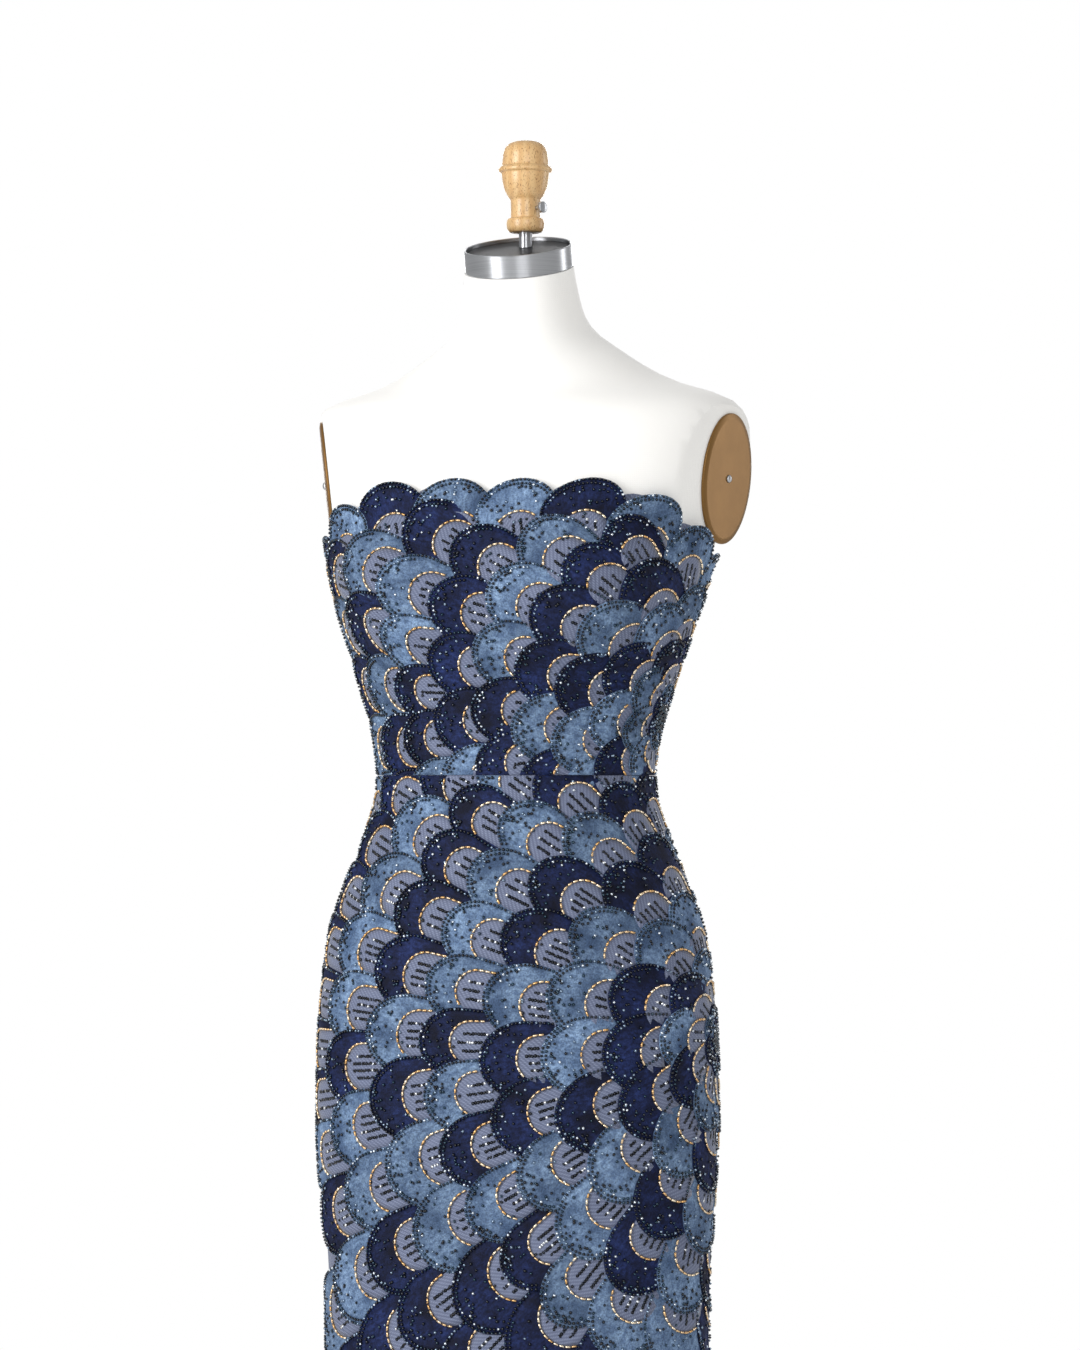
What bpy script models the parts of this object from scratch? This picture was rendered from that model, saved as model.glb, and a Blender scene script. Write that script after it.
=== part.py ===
"""Strapless mermaid evening gown on a limbless dress form with a pole and a round base.

The gown is six cloth walls on one figure: bodice front and two bodice backs above a waist seam, skirt
front and two skirt backs below it. The figure is a table of girth sections; every wall, the form inside
it and the petals raised on it are worked out from that table. Metres, +Z up, front towards -Y, the
wearer's left towards +X, origin on the floor at the centre of the base.
"""

import math
from collections import namedtuple

import bmesh
import bpy
import numpy as np
from mathutils import Matrix, Vector
from mathutils.geometry import delaunay_2d_cdt

MM = 0.001

# Driving dimensions
WAIST = 1.070
HEM = -1.060
KNEE = -0.560
FORM_FOOT = -0.300
CLOTH = 1.5 * MM
LINING_DROP = 1.0 * MM
FORM_EASE = 0.9 * MM
SEAM_GAP = 0.32 * MM
ZIP_TOP = 0.164
ZIP_FOOT = -0.200
ZIP_WIDTH = 6.0 * MM
ZIP_GAP = 0.35 * MM

# Girth sections of the figure, in millimetres from the waist seam. half_width is at the widest point,
# which lies side_y behind the axis; front and back are the depths at the centre front and centre back.
# tilt leans a section forward in degrees, and square is the exponent of its outline, 2 for an ellipse.
Section = namedtuple("Section", "height half_width front back side_y tilt square")
FIGURE = [
    Section(-1062, 385, 352, 392, 8, 0, 2),
    Section(-940, 328, 291, 328, 8, 0, 2),
    Section(-840, 270, 228, 260, 7, 0, 2),
    Section(-740, 215, 166, 192, 6, 0, 2),
    Section(-650, 178, 120, 140, 4, 0, 2),
    Section(-560, 163, 101, 113, 2, 0, 2),
    Section(-503, 168, 101, 112, 1, 0, 2),
    Section(-452, 168.5, 102, 113, 0, 0, 2),
    Section(-361, 174, 104, 119, 0, 0, 2),
    Section(-300, 176.5, 106, 127, 0, 0, 2),
    Section(-236, 175.5, 108, 134, 0, 0, 2),
    Section(-180, 170.5, 108, 132, 0, 0, 2),
    Section(-141, 165, 107, 125, 0, 0, 2),
    Section(-97, 150, 104, 113, 0, 0, 2),
    Section(-48, 130.5, 98, 97, 0, 0, 2),
    Section(-18, 121.5, 94, 89, 0, 0, 2),
    Section(0, 120.3, 92, 87, 0, 0, 2),
    Section(28, 123, 92, 87, 1, 0, 2),
    Section(78, 136.8, 96, 90, 3, 0, 2),
    Section(107, 146, 99, 92, 6, 0, 2),
    Section(129, 153.5, 101, 94, 8, 0, 2),
    Section(165, 165.5, 102, 97, 12, 0, 2),
    Section(190, 172, 100, 101, 18, 0, 2),
    Section(215, 178, 97, 105, 30, 0, 2.05),
    Section(240, 188, 94, 109, 44, 0, 2.15),
    Section(262, 199, 90, 112, 54, 0, 2.25),
    Section(290, 201, 83, 112, 56, 0, 2.35),
    Section(310, 200, 76, 109, 54, 1, 2.35),
    Section(325, 195, 68, 104, 50, 2, 2.3),
    Section(337, 181, 60, 99, 46, 4, 2.2),
    Section(348, 144, 53, 94, 41, 7, 2.1),
    Section(359, 118, 48, 89, 36, 10, 2),
    Section(369, 101, 44, 85, 32, 12, 2),
    Section(380, 84, 41, 80, 28, 14, 2),
    Section(391, 68, 39, 76, 24, 16, 2),
    Section(401, 60, 38, 72, 20, 17, 2),
    Section(412, 56, 37.5, 68, 17, 17, 2),
    Section(430, 52.5, 38, 62, 13, 17, 2),
    Section(449, 49.5, 38, 58, 10, 17, 2),
]

# The two mounds of the bust, which the bodice is cut to bridge.
BUST_TURN = math.radians(33)
BUST_SPREAD = math.radians(25)
BUST_HEIGHT = 0.158
BUST_RISE = 0.068
BUST_FALL = 0.052
BUST_DEPTH = 0.031

# Flutes of the flared hem: where each stands round the hem, how far it stands out there, how wide it is.
Flute = namedtuple("Flute", "turn depth spread")
FLUTES = [
    Flute(4, 30, 14),
    Flute(37, 24, 12),
    Flute(70, 32, 15),
    Flute(106, 27, 13),
    Flute(139, 33, 14),
    Flute(171, 28, 13),
    Flute(205, 34, 15),
    Flute(240, 25, 12),
    Flute(273, 31, 14),
    Flute(303, 26, 12),
    Flute(333, 29, 13),
]
FLUTE_MEAN = 16 * MM

# Height of the scallop tips of the top edge, round the body.
NECKLINE_TURN = np.radians([0, 25, 45, 66, 90, 105, 130, 180])
NECKLINE_TIP = np.array([254, 257, 252, 230, 203, 193, 183, 178]) * MM
SCALLOPS = 16
SCALLOP_SHIFT = -2.8125
SCALLOP_CAP = 27 * MM

# Velvet petals: rings of them fan out from a centre on the left side seam, one on the bodice and one
# on the skirt. A petal's tip points away from the centre and lies on the petals of the next ring.
Fan = namedtuple("Fan", "height first step low high reach")
BODICE_FAN = Fan(52 * MM, 30 * MM, 43 * MM, -40 * MM, 260 * MM, 0.62)
SKIRT_FAN = Fan(-232 * MM, 32 * MM, 50 * MM, -1075 * MM, 50 * MM, 0.98)
FAN_TURN = math.radians(90)
FAN_GIRTH = 0.150
RING_GROWTH = 24 * MM
RING_EASE = 3
SPACING_HEIGHT = np.array([-1062, -560, -230, 0, 200]) * MM
SPACING_WIDTH = np.array([114, 71, 57, 50, 54]) * MM
BURST_SHARE = 0.22
BURST_REACH = 115 * MM
PETAL_OVERLAP = 1.14
PETAL_LENGTH = 2.9
PETAL_ROOT = 0.34
PETAL_LIFT = 1.3 * MM
PETAL_BASE = 0.2 * MM
LIFT_LENGTH = 32 * MM
EDGE_STEP = 0.7 * MM
ARC_SHARES = (-0.86, -0.44, 0.0, 0.44, 0.86)
Petal = namedtuple("Petal", "turn height lean width length cap order")

# Stations shared by the form and the cloth over it, so that their facets lie parallel.
TURNS = 40
FIT_HEIGHTS = np.array([*range(-300, 0, 30), 0, *range(29, 204, 29), 218, 232, 247, 261]) * MM
FORM_HEIGHTS = np.array([275, 292, 310, 325, 337, 348, 359, 369, 380, 391, 401, 412, 430, 460]) * MM
HANG_HEIGHTS = np.array([-350, -400, -450, -500, -550]) * MM
FLARE_HEIGHTS = np.array([-600, -655, -715, -785, -860, -935, -1000]) * MM
FLARE_TURNS = 80
PLAIN_CLEAR = 2.5 * MM
RELIEF_CLEAR = 5 * MM
FILL_CLEAR = 11 * MM
BARE_CLEAR = 25 * MM

# Dress form fittings
NECK_TILT = math.radians(17)
NECK_HEIGHT = 451 * MM
NECK_Y = 12 * MM
RING_RADIUS = 48.5 * MM
RING_WALL = 2.0 * MM
RING_HEIGHT = 20 * MM
PLATE_DEPTH = 3 * MM
POST_RADIUS = 6 * MM
POST_ASIDE = Vector((3 * MM, 14 * MM, 0))
KNOB_FOOT = 1.070 + 0.4845
ARM_POINT = Vector((0.1835, 0.030, 1.070 + 0.262))
ARM_FORWARD = math.radians(18)
ARM_DOWN = math.radians(6)
ARM_HALF_HEIGHT = 58 * MM
ARM_HALF_WIDTH = 41 * MM
ARM_THICK = 3 * MM
ARM_SCREW_RADIUS = 3.5 * MM
FIT_GAP = 0.32 * MM
BASE_RADIUS = 0.205
POLE_RADIUS = 15 * MM
FLANGE_RADIUS = 48 * MM

HEIGHTS = np.array([row.height for row in FIGURE]) * MM
SCALES = {"half_width": MM, "front": MM, "back": MM, "side_y": MM, "tilt": math.pi / 180, "square": 1}
COLUMNS = {name: np.array([getattr(row, name) for row in FIGURE]) * unit for name, unit in SCALES.items()}


def slopes_of(heights, values):
    """Slopes of a monotone cubic through the rows, so that no section bulges between two rows."""
    step = np.diff(heights)
    rise = np.diff(values) / step
    slope = np.zeros_like(values)
    slope[0], slope[-1] = rise[0], rise[-1]
    before, after = 2 * step[1:] + step[:-1], step[1:] + 2 * step[:-1]
    rising = rise[:-1] * rise[1:] > 0
    safe = np.where(rising, rise[:-1], 1), np.where(rising, rise[1:], 1)
    slope[1:-1] = np.where(rising, (before + after) / (before / safe[0] + after / safe[1]), 0)
    return slope


SLOPES = {name: slopes_of(HEIGHTS, values) for name, values in COLUMNS.items()}


def read(name, height):
    """One column of the figure at any height."""
    height = np.clip(height, HEIGHTS[0], HEIGHTS[-1])
    i = np.clip(np.searchsorted(HEIGHTS, height) - 1, 0, len(HEIGHTS) - 2)
    step = HEIGHTS[i + 1] - HEIGHTS[i]
    t = (height - HEIGHTS[i]) / step
    y, m = COLUMNS[name], SLOPES[name]
    return (
        (2 * t**3 - 3 * t**2 + 1) * y[i]
        + (t**3 - 2 * t**2 + t) * step * m[i]
        + (3 * t**2 - 2 * t**3) * y[i + 1]
        + (t**3 - t**2) * step * m[i + 1]
    )


def outline(angle, height):
    """Plan outline of a section at an eccentric angle, 0 at the centre front."""
    power = 2 / read("square", height)
    across = np.sign(np.sin(angle)) * np.abs(np.sin(angle)) ** power
    ahead = np.sign(np.cos(angle)) * np.abs(np.cos(angle)) ** power
    front, back, side_y = read("front", height), read("back", height), read("side_y", height)
    x = read("half_width", height) * across
    y = side_y - np.where(ahead > 0, side_y + front, back - side_y) * ahead
    return x, y


# Turns are measured by arc length, so that equal turns are equal lengths of cloth at every height.
TABLE_STEP = 5 * MM
TABLE_HEIGHTS = np.arange(-1.070, 0.475, TABLE_STEP)
HALF_TURNS = np.linspace(0, math.pi, 91)


def half_girths():
    """Half girth, and the eccentric angle at evenly spaced arc lengths, for each table height."""
    fine = np.linspace(0, math.pi, 721)
    girths, angles = [], []
    for height in TABLE_HEIGHTS:
        x, y = outline(fine, np.full(len(fine), height))
        run = np.concatenate([[0], np.cumsum(np.hypot(np.diff(x), np.diff(y)))])
        girths.append(run[-1])
        angles.append(np.interp(HALF_TURNS / math.pi * run[-1], run, fine))
    return np.array(girths), np.array(angles)


HALF_GIRTHS, ANGLES = half_girths()


def girth_radius(height):
    """Length of cloth in one radian of turn."""
    return np.interp(height, TABLE_HEIGHTS, HALF_GIRTHS) / math.pi


def angle_at(turn, height):
    """Eccentric angle for an arc-length turn, read from the table between its rows."""
    turn = (turn + math.pi) % (2 * math.pi) - math.pi
    row = np.clip((height - TABLE_HEIGHTS[0]) / TABLE_STEP, 0, len(TABLE_HEIGHTS) - 1)
    column = np.abs(turn) / math.pi * (len(HALF_TURNS) - 1)
    i = np.minimum(row.astype(int), len(TABLE_HEIGHTS) - 2)
    j = np.minimum(column.astype(int), len(HALF_TURNS) - 2)
    p, q = row - i, column - j
    low = ANGLES[i, j] * (1 - q) + ANGLES[i, j + 1] * q
    high = ANGLES[i + 1, j] * (1 - q) + ANGLES[i + 1, j + 1] * q
    return np.sign(turn) * (low * (1 - p) + high * p)


def figure_point(turn, height):
    """A point on the figure: the girth outline, the bust mounds and the flutes of the hem."""
    turn, height = np.broadcast_arrays(np.asarray(turn, float), np.asarray(height, float))
    angle = angle_at(turn, height)
    x, y = outline(angle, height)
    spread = np.where(height > BUST_HEIGHT, BUST_RISE, BUST_FALL)
    mound = np.exp(-(((height - BUST_HEIGHT) / spread) ** 2))
    sides = sum(np.exp(-(((angle - side * BUST_TURN) / BUST_SPREAD) ** 2)) for side in (-1, 1))
    push = BUST_DEPTH * mound * sides
    fall = np.clip((KNEE - height) / (KNEE - HEM), 0, 1) ** 1.5
    flutes = -FLUTE_MEAN
    for flute in FLUTES:
        away = (turn - math.radians(flute.turn) + math.pi) % (2 * math.pi) - math.pi
        flutes = flutes + flute.depth * MM * np.exp(-((away / math.radians(flute.spread)) ** 2))
    stand = fall * flutes
    x = x + (0.5 * push + stand) * np.sin(angle)
    y = y - (push + stand) * np.cos(angle)
    z = WAIST + height + (y - read("side_y", height)) * np.tan(read("tilt", height))
    return np.stack([x, y, z], axis=-1)


def figure_offset(turn, height, lift):
    """A point on the figure moved out along its normal by lift."""
    turn, height = np.broadcast_arrays(np.asarray(turn, float), np.asarray(height, float))
    small = 1e-4
    round_way = figure_point(turn + small, height) - figure_point(turn - small, height)
    up_way = figure_point(turn, height + small) - figure_point(turn, height - small)
    normal = np.cross(round_way, up_way)
    normal /= np.linalg.norm(normal, axis=-1, keepdims=True)
    return figure_point(turn, height) + normal * np.asarray(lift)[..., None]


def neck_height(turn):
    """Height of the line through the scallop tips."""
    turn = (turn + math.pi) % (2 * math.pi) - math.pi
    return np.interp(np.abs(turn), NECKLINE_TURN, NECKLINE_TIP)


def top_edge(turn):
    """The scalloped top edge: a row of round petal tips on the neckline."""
    share = 2 * math.pi / SCALLOPS
    away = (((turn - math.radians(SCALLOP_SHIFT)) / share) % 1 - 0.5) * 2
    drop = SCALLOP_CAP * (1 - np.sqrt(1 - (0.87 * away) ** 2))
    return neck_height(turn) - drop


def ring_places(inner, total, length):
    """Where the petals of a ring stand, counted in petal widths along it: in line with those of the ring
    inside it, with new ones in the widest gaps and their neighbours eased apart."""
    places = np.sort(inner) if len(inner) else np.arange(total) * length / total
    while len(places) != total:
        gaps = np.diff(np.append(places, places[0] + length))
        if len(places) < total:
            wide = int(np.argmax(gaps))
            places = np.insert(places, wide + 1, places[wide] + gaps[wide] / 2)
        else:
            places = np.delete(places, int(np.argmin(gaps)))
        for _ in range(RING_EASE):
            before = np.append(places[-1] - length, places[:-1])
            after = np.append(places[1:], places[0] + length)
            places = 0.5 * places + 0.25 * (before + after)
    gaps = np.diff(np.append(places, places[0] + length))
    return places % length, (gaps + np.roll(gaps, 1)) / 2


def fan_petals(fan):
    """Rings of petals round a fan's centre, spaced along each ring by the width of a petal there."""
    petals = []
    reach, inner = fan.first, []
    way = np.linspace(-math.pi, math.pi, 1441)
    while reach < fan.reach:
        turn = FAN_TURN - reach * np.cos(way) / FAN_GIRTH
        height = fan.height + reach * np.sin(way)
        radius = girth_radius(height)
        near = min(1.0, BURST_SHARE + reach / BURST_REACH)
        spacing = near * np.interp(height, SPACING_HEIGHT, SPACING_WIDTH)
        run = np.hypot(np.diff(turn) * (radius[1:] + radius[:-1]) / 2, np.diff(height))
        count = np.concatenate([[0], np.cumsum(run * 2 / (spacing[1:] + spacing[:-1]))])
        step = fan.step + RING_GROWTH * (reach / 0.85) ** 1.3
        places, shares = ring_places(np.interp(inner, way, count), round(count[-1]), count[-1])
        inner = np.interp(places, count, way)
        for here, share in zip(inner.tolist(), shares.tolist()):
            t = FAN_TURN - reach * math.cos(here) / FAN_GIRTH
            h = fan.height + reach * math.sin(here)
            if abs(t - FAN_TURN) > math.pi + 0.1 or not fan.low < h < fan.high:
                continue
            out_round = FAN_GIRTH**2 * (t - FAN_TURN) / (reach * float(girth_radius(h)))
            lean = math.atan2(out_round, math.sin(here))
            length = PETAL_LENGTH * step / math.hypot(out_round, math.sin(here))
            width = PETAL_OVERLAP * share * near * float(np.interp(h, SPACING_HEIGHT, SPACING_WIDTH))
            order = reach + 1e-5 * len(petals)
            petals.append(Petal(t, h, lean, width, min(length, reach + 1.2 * step), 0.5 * width, order))
        reach += step
    return petals


def neckline_petals():
    """The outermost row on the bodice, whose tips are the scallops of the top edge."""
    petals = []
    share = 2 * math.pi / SCALLOPS
    for n in range(SCALLOPS):
        turn = (n - SCALLOPS // 4 + 0.5) * share + math.radians(SCALLOP_SHIFT)
        height = float(neck_height(turn))
        away = turn - FAN_TURN
        lean = 0.25 * math.atan2(FAN_GIRTH * away, height - BODICE_FAN.height)
        width = 1.15 * share * float(girth_radius(height))
        petals.append(Petal(turn, height, lean, width, 0.115, SCALLOP_CAP, 2.0 + 1e-5 * n))
    return petals


def table_of(petals):
    """The same petals as one record of arrays, to ask about all of them at once."""
    return Petal(*(np.array(column) for column in zip(*petals)))


def petal_half_width(petal, along):
    """Half width of a petal: a round cap at the tip, then sides that draw in towards the root."""
    cap = np.clip(1 - along / petal.cap, 0, 1)
    draw = np.clip((along - petal.cap) / (petal.length - petal.cap), 0, 1) ** 1.4
    half = 0.5 * petal.width * np.sqrt(1 - cap**2) * (1 - (1 - PETAL_ROOT) * draw)
    return np.where((along > 0) & (along < petal.length), half, 0)


def within(petal, turn, height):
    """How a point lies on a petal: across its midline, along from its tip, and its half width there."""
    s = (turn - petal.turn) * girth_radius(height)
    m = height - petal.height
    across = s * np.cos(petal.lean) - m * np.sin(petal.lean)
    along = -(s * np.sin(petal.lean) + m * np.cos(petal.lean))
    return across, along, petal_half_width(petal, along)


def on_figure(petal, across, along):
    """Turn and height of a point given across and along a petal."""
    height = petal.height - along * math.cos(petal.lean) - across * math.sin(petal.lean)
    s = across * math.cos(petal.lean) - along * math.sin(petal.lean)
    return petal.turn + s / float(girth_radius(height)), height


def relief(table, turn, height):
    """How far the cloth is raised at a point: the lift of the topmost petal there."""
    across, along, half = within(table, turn, height)
    there = np.abs(across) < half
    if not there.any():
        return 0.0
    top = np.argmin(np.where(there, table.order, np.inf))
    return PETAL_BASE + PETAL_LIFT * max(0.0, 1 - float(along[top]) / LIFT_LENGTH)


def seen(table, order, turn, height):
    """Whether a point of a petal's edge is clear of every petal that lies over it."""
    across, along, half = within(table, turn, height)
    near = (np.abs(across) < half + 2.5 * MM) & (along > -2.5 * MM) & (along < table.length)
    return not (near & (table.order < order)).any()


def raised_edges(petals, table, inside):
    """The seen arcs of the petal tips as points (turn, height, lift) and the edges that join them."""
    points, edges = [], []
    for petal in petals:
        last = None
        for share in ARC_SHARES:
            swing = share * math.pi / 2
            across = 0.5 * petal.width * math.sin(swing)
            along = petal.cap * (1 - math.cos(swing))
            turn, height = on_figure(petal, across, along)
            if not inside(turn, height, RELIEF_CLEAR) or not seen(table, petal.order, turn, height):
                last = None
                continue
            step = EDGE_STEP * math.sin(swing), EDGE_STEP * math.cos(swing)
            low_turn, low_height = on_figure(petal, across + step[0], along - step[1])
            high_turn, high_height = on_figure(petal, across - step[0], along + step[1])
            here = len(points)
            points.append((high_turn, high_height, PETAL_BASE + PETAL_LIFT))
            points.append((low_turn, low_height, relief(table, low_turn, low_height)))
            if last is not None:
                edges += [(last, here), (last + 1, here + 1)]
            last = here
    return points, edges


def clean_scene():
    for old in list(bpy.data.objects):
        bpy.data.objects.remove(old)
    for name in ("Mermaid gown on a form", "Cutters"):
        bpy.context.scene.collection.children.link(bpy.data.collections.new(name))


def finish(roughness, metallic, colour):
    return {"roughness": roughness, "metallic": metallic, "colour": colour}


FINISHES = {
    "beaded_velvet": finish(0.75, 0.0, (0.055, 0.085, 0.19)),
    "zip_tape": finish(0.7, 0.0, (0.02, 0.03, 0.08)),
    "form_cover": finish(0.85, 0.0, (0.90, 0.88, 0.84)),
    "arm_plate_bronze": finish(0.4, 0.6, (0.36, 0.22, 0.08)),
    "brushed_steel": finish(0.3, 1.0, (0.60, 0.61, 0.63)),
    "dark_steel": finish(0.45, 0.8, (0.05, 0.05, 0.055)),
    "turned_beech": finish(0.5, 0.0, (0.62, 0.38, 0.17)),
    "black_iron": finish(0.5, 0.5, (0.03, 0.03, 0.032)),
}


def material(name):
    found = bpy.data.materials.get(name)
    if found:
        return found
    made = bpy.data.materials.new(name)
    made.use_nodes = True
    shader = made.node_tree.nodes["Principled BSDF"]
    shader.inputs["Base Color"].default_value = (*FINISHES[name]["colour"], 1)
    shader.inputs["Roughness"].default_value = FINISHES[name]["roughness"]
    shader.inputs["Metallic"].default_value = FINISHES[name]["metallic"]
    return made


def add_object(name, bm, finish_name, smooth=True):
    """Puts a finished bmesh in the scene as one named object."""
    mesh = bpy.data.meshes.new(name)
    bm.to_mesh(mesh)
    bm.free()
    if smooth:
        mesh.shade_smooth()
        mesh.set_sharp_from_angle(angle=math.radians(40))
    made = bpy.data.objects.new(name, mesh)
    mesh.materials.append(material(finish_name))
    bpy.data.collections["Mermaid gown on a form"].objects.link(made)
    return made


def flat_radius(height):
    """Radius at which the cloth is laid flat: even above the knee, and the true one in the flare, drawn
    straight from station to station so that a seam stays straight."""
    rows = [HEM, *FLARE_HEIGHTS[::-1]]
    return np.interp(height, [*rows, HANG_HEIGHTS[-1]], [*girth_radius(np.array(rows)), FAN_GIRTH])


def skin(border, points, edges):
    """Triangles that fill a border and pass through the given points and edges, laid flat in true size."""
    turns = [p[0] for p in border]
    middle = (min(turns) + max(turns)) / 2
    flat = [Vector(((p[0] - middle) * float(flat_radius(p[1])), p[1])) for p in [*border, *points]]
    n = len(border)
    links = [(a + n, b + n) for a, b in edges]
    corners, _, faces, corner_sources, _, face_sources = delaunay_2d_cdt(flat, links, [list(range(n))], 0, 1e-6, True)
    inner = [face for face, sources in zip(faces, face_sources) if sources]
    height = np.array([p.y for p in corners])
    return np.array([p.x for p in corners]) / flat_radius(height) + middle, height, inner, corner_sources


def cloth_wall(name, border, raised, edges, plain, diagonals):
    """One cut piece of cloth: an outer skin through the raised points, a plain inner skin, and the edge
    that joins them. border runs anticlockwise seen from outside, in turn and height."""
    bm = bmesh.new()
    rims = []
    for points, links, outward in ((raised, edges, True), (plain, diagonals, False)):
        given = [*border, *points]
        turn, height, faces, origins = skin(border, points, links)
        lift = np.zeros(len(turn))
        for i, source in enumerate(origins):
            if source:
                turn[i], height[i] = given[source[0]][0], given[source[0]][1]
            if outward:
                raise_by = [given[k][2] for k in source if len(given[k]) > 2]
                lift[i] = cloth_thickness(height[i]) + max(raise_by, default=0)
            else:
                lift[i] = -lining_depth(height[i])
        placed = [bm.verts.new(p) for p in figure_offset(turn, height, lift)]
        for face in faces:
            corners = [placed[i] for i in face]
            bm.faces.new(corners if outward else corners[::-1])
        at_border = {k: placed[i] for i, source in enumerate(origins) for k in source}
        rims.append([at_border[k] for k in range(len(border))])
    outer, inner = rims
    for i in range(len(border)):
        j = (i + 1) % len(border)
        bm.faces.new((outer[j], outer[i], inner[i], inner[j]))
    bmesh.ops.recalc_face_normals(bm, faces=bm.faces)
    bmesh.ops.triangulate(bm, faces=bm.faces)
    return add_object(name, bm, "beaded_velvet")


def lattice(inside, heights):
    """Plain inner points on the stations that the form has where it backs the cloth, and the diagonals
    between them, which run as the form's do."""
    points, diagonals, row_below = [], [], {}
    for height in sorted(heights):
        count = FLARE_TURNS if height < KNEE - 0.02 else TURNS
        row = {}
        for i in range(-count // 2, count):
            turn = 2 * math.pi * i / count
            if inside(turn, float(height), PLAIN_CLEAR):
                row[count, i] = len(points)
                points.append((turn, float(height)))
                below = row_below.get((count, i - 1))
                if below is not None and inside(turn - math.pi / count, (height + points[below][1]) / 2, PLAIN_CLEAR):
                    diagonals.append((below, row[count, i]))
        row_below = row
    return points, diagonals


def fill_points(table, plain, raised, clear):
    """Plain points for the outer skin too, wherever it has no point near."""
    if not raised:
        return []
    edge = np.array(raised)
    points = []
    for turn, height in plain:
        radius = float(girth_radius(height))
        if np.hypot((edge[:, 0] - turn) * radius, edge[:, 1] - height).min() > clear:
            points.append((turn, height, relief(table, turn, height)))
    return points


def cloth_thickness(height):
    """Cloth is a little heavier in the flare, where the hem is turned up."""
    return CLOTH + 0.5 * MM * np.clip((KNEE - height) / 0.1, 0, 1)


def lining_depth(height):
    """Below the form the lining hangs a little further in, which keeps it clear of the coarser outer facets."""
    return LINING_DROP * np.clip((FORM_FOOT - 20 * MM - height) / (30 * MM), 0, 1)


def seam_heights(low, high):
    """Stations down a seam, between its ends."""
    rows = [*FLARE_HEIGHTS, *HANG_HEIGHTS, *FIT_HEIGHTS]
    return sorted(h for h in rows if low + 4 * MM < h < high - 4 * MM)


def edge_gap(height, centre_back):
    """Half the gap that a cut edge leaves at a seam: the zip lies in the one at the centre back."""
    if not centre_back:
        return SEAM_GAP / 2
    open_by = ZIP_WIDTH / 2 + ZIP_GAP
    return float(np.interp(height, [ZIP_FOOT - 0.030, ZIP_FOOT - 1 * MM], [SEAM_GAP / 2, open_by]))


def panel(name, first, last, low, high, petals, zips):
    """A panel of the gown between two turns, low and high being functions of turn."""
    sides = []
    for turn, sign, zipped in ((first, 1, zips[0]), (last, -1, zips[1])):
        ends = [low(turn), high(turn)]
        middle = seam_heights(*ends)
        if zipped and ends[0] < ZIP_FOOT:
            middle = sorted([*middle, ZIP_FOOT - 0.030, ZIP_FOOT - 1 * MM])
        heights = [ends[0], *middle, ends[1]]
        sides.append([(turn + sign * edge_gap(h, zipped) / float(girth_radius(h)), h) for h in heights])
    left, right = sides
    count = FLARE_TURNS if low(first) < KNEE else TURNS
    below = [2 * math.pi * i / count for i in range(-count // 2, count)]
    below = [t for t in below if first + 0.01 < t < last - 0.01]
    tops = TURNS if high(first) < 0.1 else SCALLOPS * 8
    above = [2 * math.pi * i / tops for i in range(-tops // 2, tops)]
    above = [t for t in above if first + 0.01 < t < last - 0.01]
    border = [(t, low(t)) for t in below] + right + [(t, high(t)) for t in reversed(above)] + left[::-1]
    border = [(float(t), float(h)) for t, h in border]

    def inside(turn, height, clear):
        room = clear / float(girth_radius(height))
        gaps = [edge_gap(height, z) / float(girth_radius(height)) for z in zips]
        across = first + gaps[0] + room < turn < last - gaps[1] - room
        return across and low(turn) + clear < height < high(turn) - clear

    table = table_of(petals)
    raised, edges = raised_edges(petals, table, inside)
    plain, diagonals = lattice(inside, [*FLARE_HEIGHTS, *HANG_HEIGHTS, *FIT_HEIGHTS])
    raised += fill_points(table, plain, raised, FILL_CLEAR)
    rows = np.array([*FLARE_HEIGHTS, HEM])
    between, _ = lattice(inside, (rows[1:] + rows[:-1]) / 2)
    raised += fill_points(table, between, raised, BARE_CLEAR)
    return cloth_wall(name, border, raised, edges, plain, diagonals)


def loft(rings):
    """A closed solid through rings of points of equal number, bottom first."""
    bm = bmesh.new()
    rows = [[bm.verts.new(p) for p in ring] for ring in rings]
    for below, above in zip(rows, rows[1:]):
        for i in range(len(below)):
            j = (i + 1) % len(below)
            bm.faces.new((below[i], below[j], above[j]))
            bm.faces.new((below[i], above[j], above[i]))
    bm.faces.new(rows[0][::-1])
    bm.faces.new(rows[-1])
    return bm


def cap_cut(bm, point, normal):
    """Cuts a solid by a plane, drops what lies beyond it and closes the cut."""
    cut = bmesh.ops.bisect_plane(
        bm, geom=bm.verts[:] + bm.edges[:] + bm.faces[:], dist=1e-6, plane_co=point, plane_no=normal, clear_outer=True
    )
    rim = [item for item in cut["geom_cut"] if isinstance(item, bmesh.types.BMEdge)]
    bmesh.ops.contextual_create(bm, geom=rim)


def arm_normal(side):
    """Outward normal of an arm plate: sideways, turned a little forward and down."""
    level = math.cos(ARM_DOWN)
    return Vector((side * math.cos(ARM_FORWARD) * level, -math.sin(ARM_FORWARD) * level, -math.sin(ARM_DOWN)))


def neck_frame():
    """Point and normal of the tilted plane on which the neck ring stands."""
    normal = Vector((0, -math.sin(NECK_TILT), math.cos(NECK_TILT)))
    return Vector((0, NECK_Y, WAIST + NECK_HEIGHT)), normal


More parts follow.
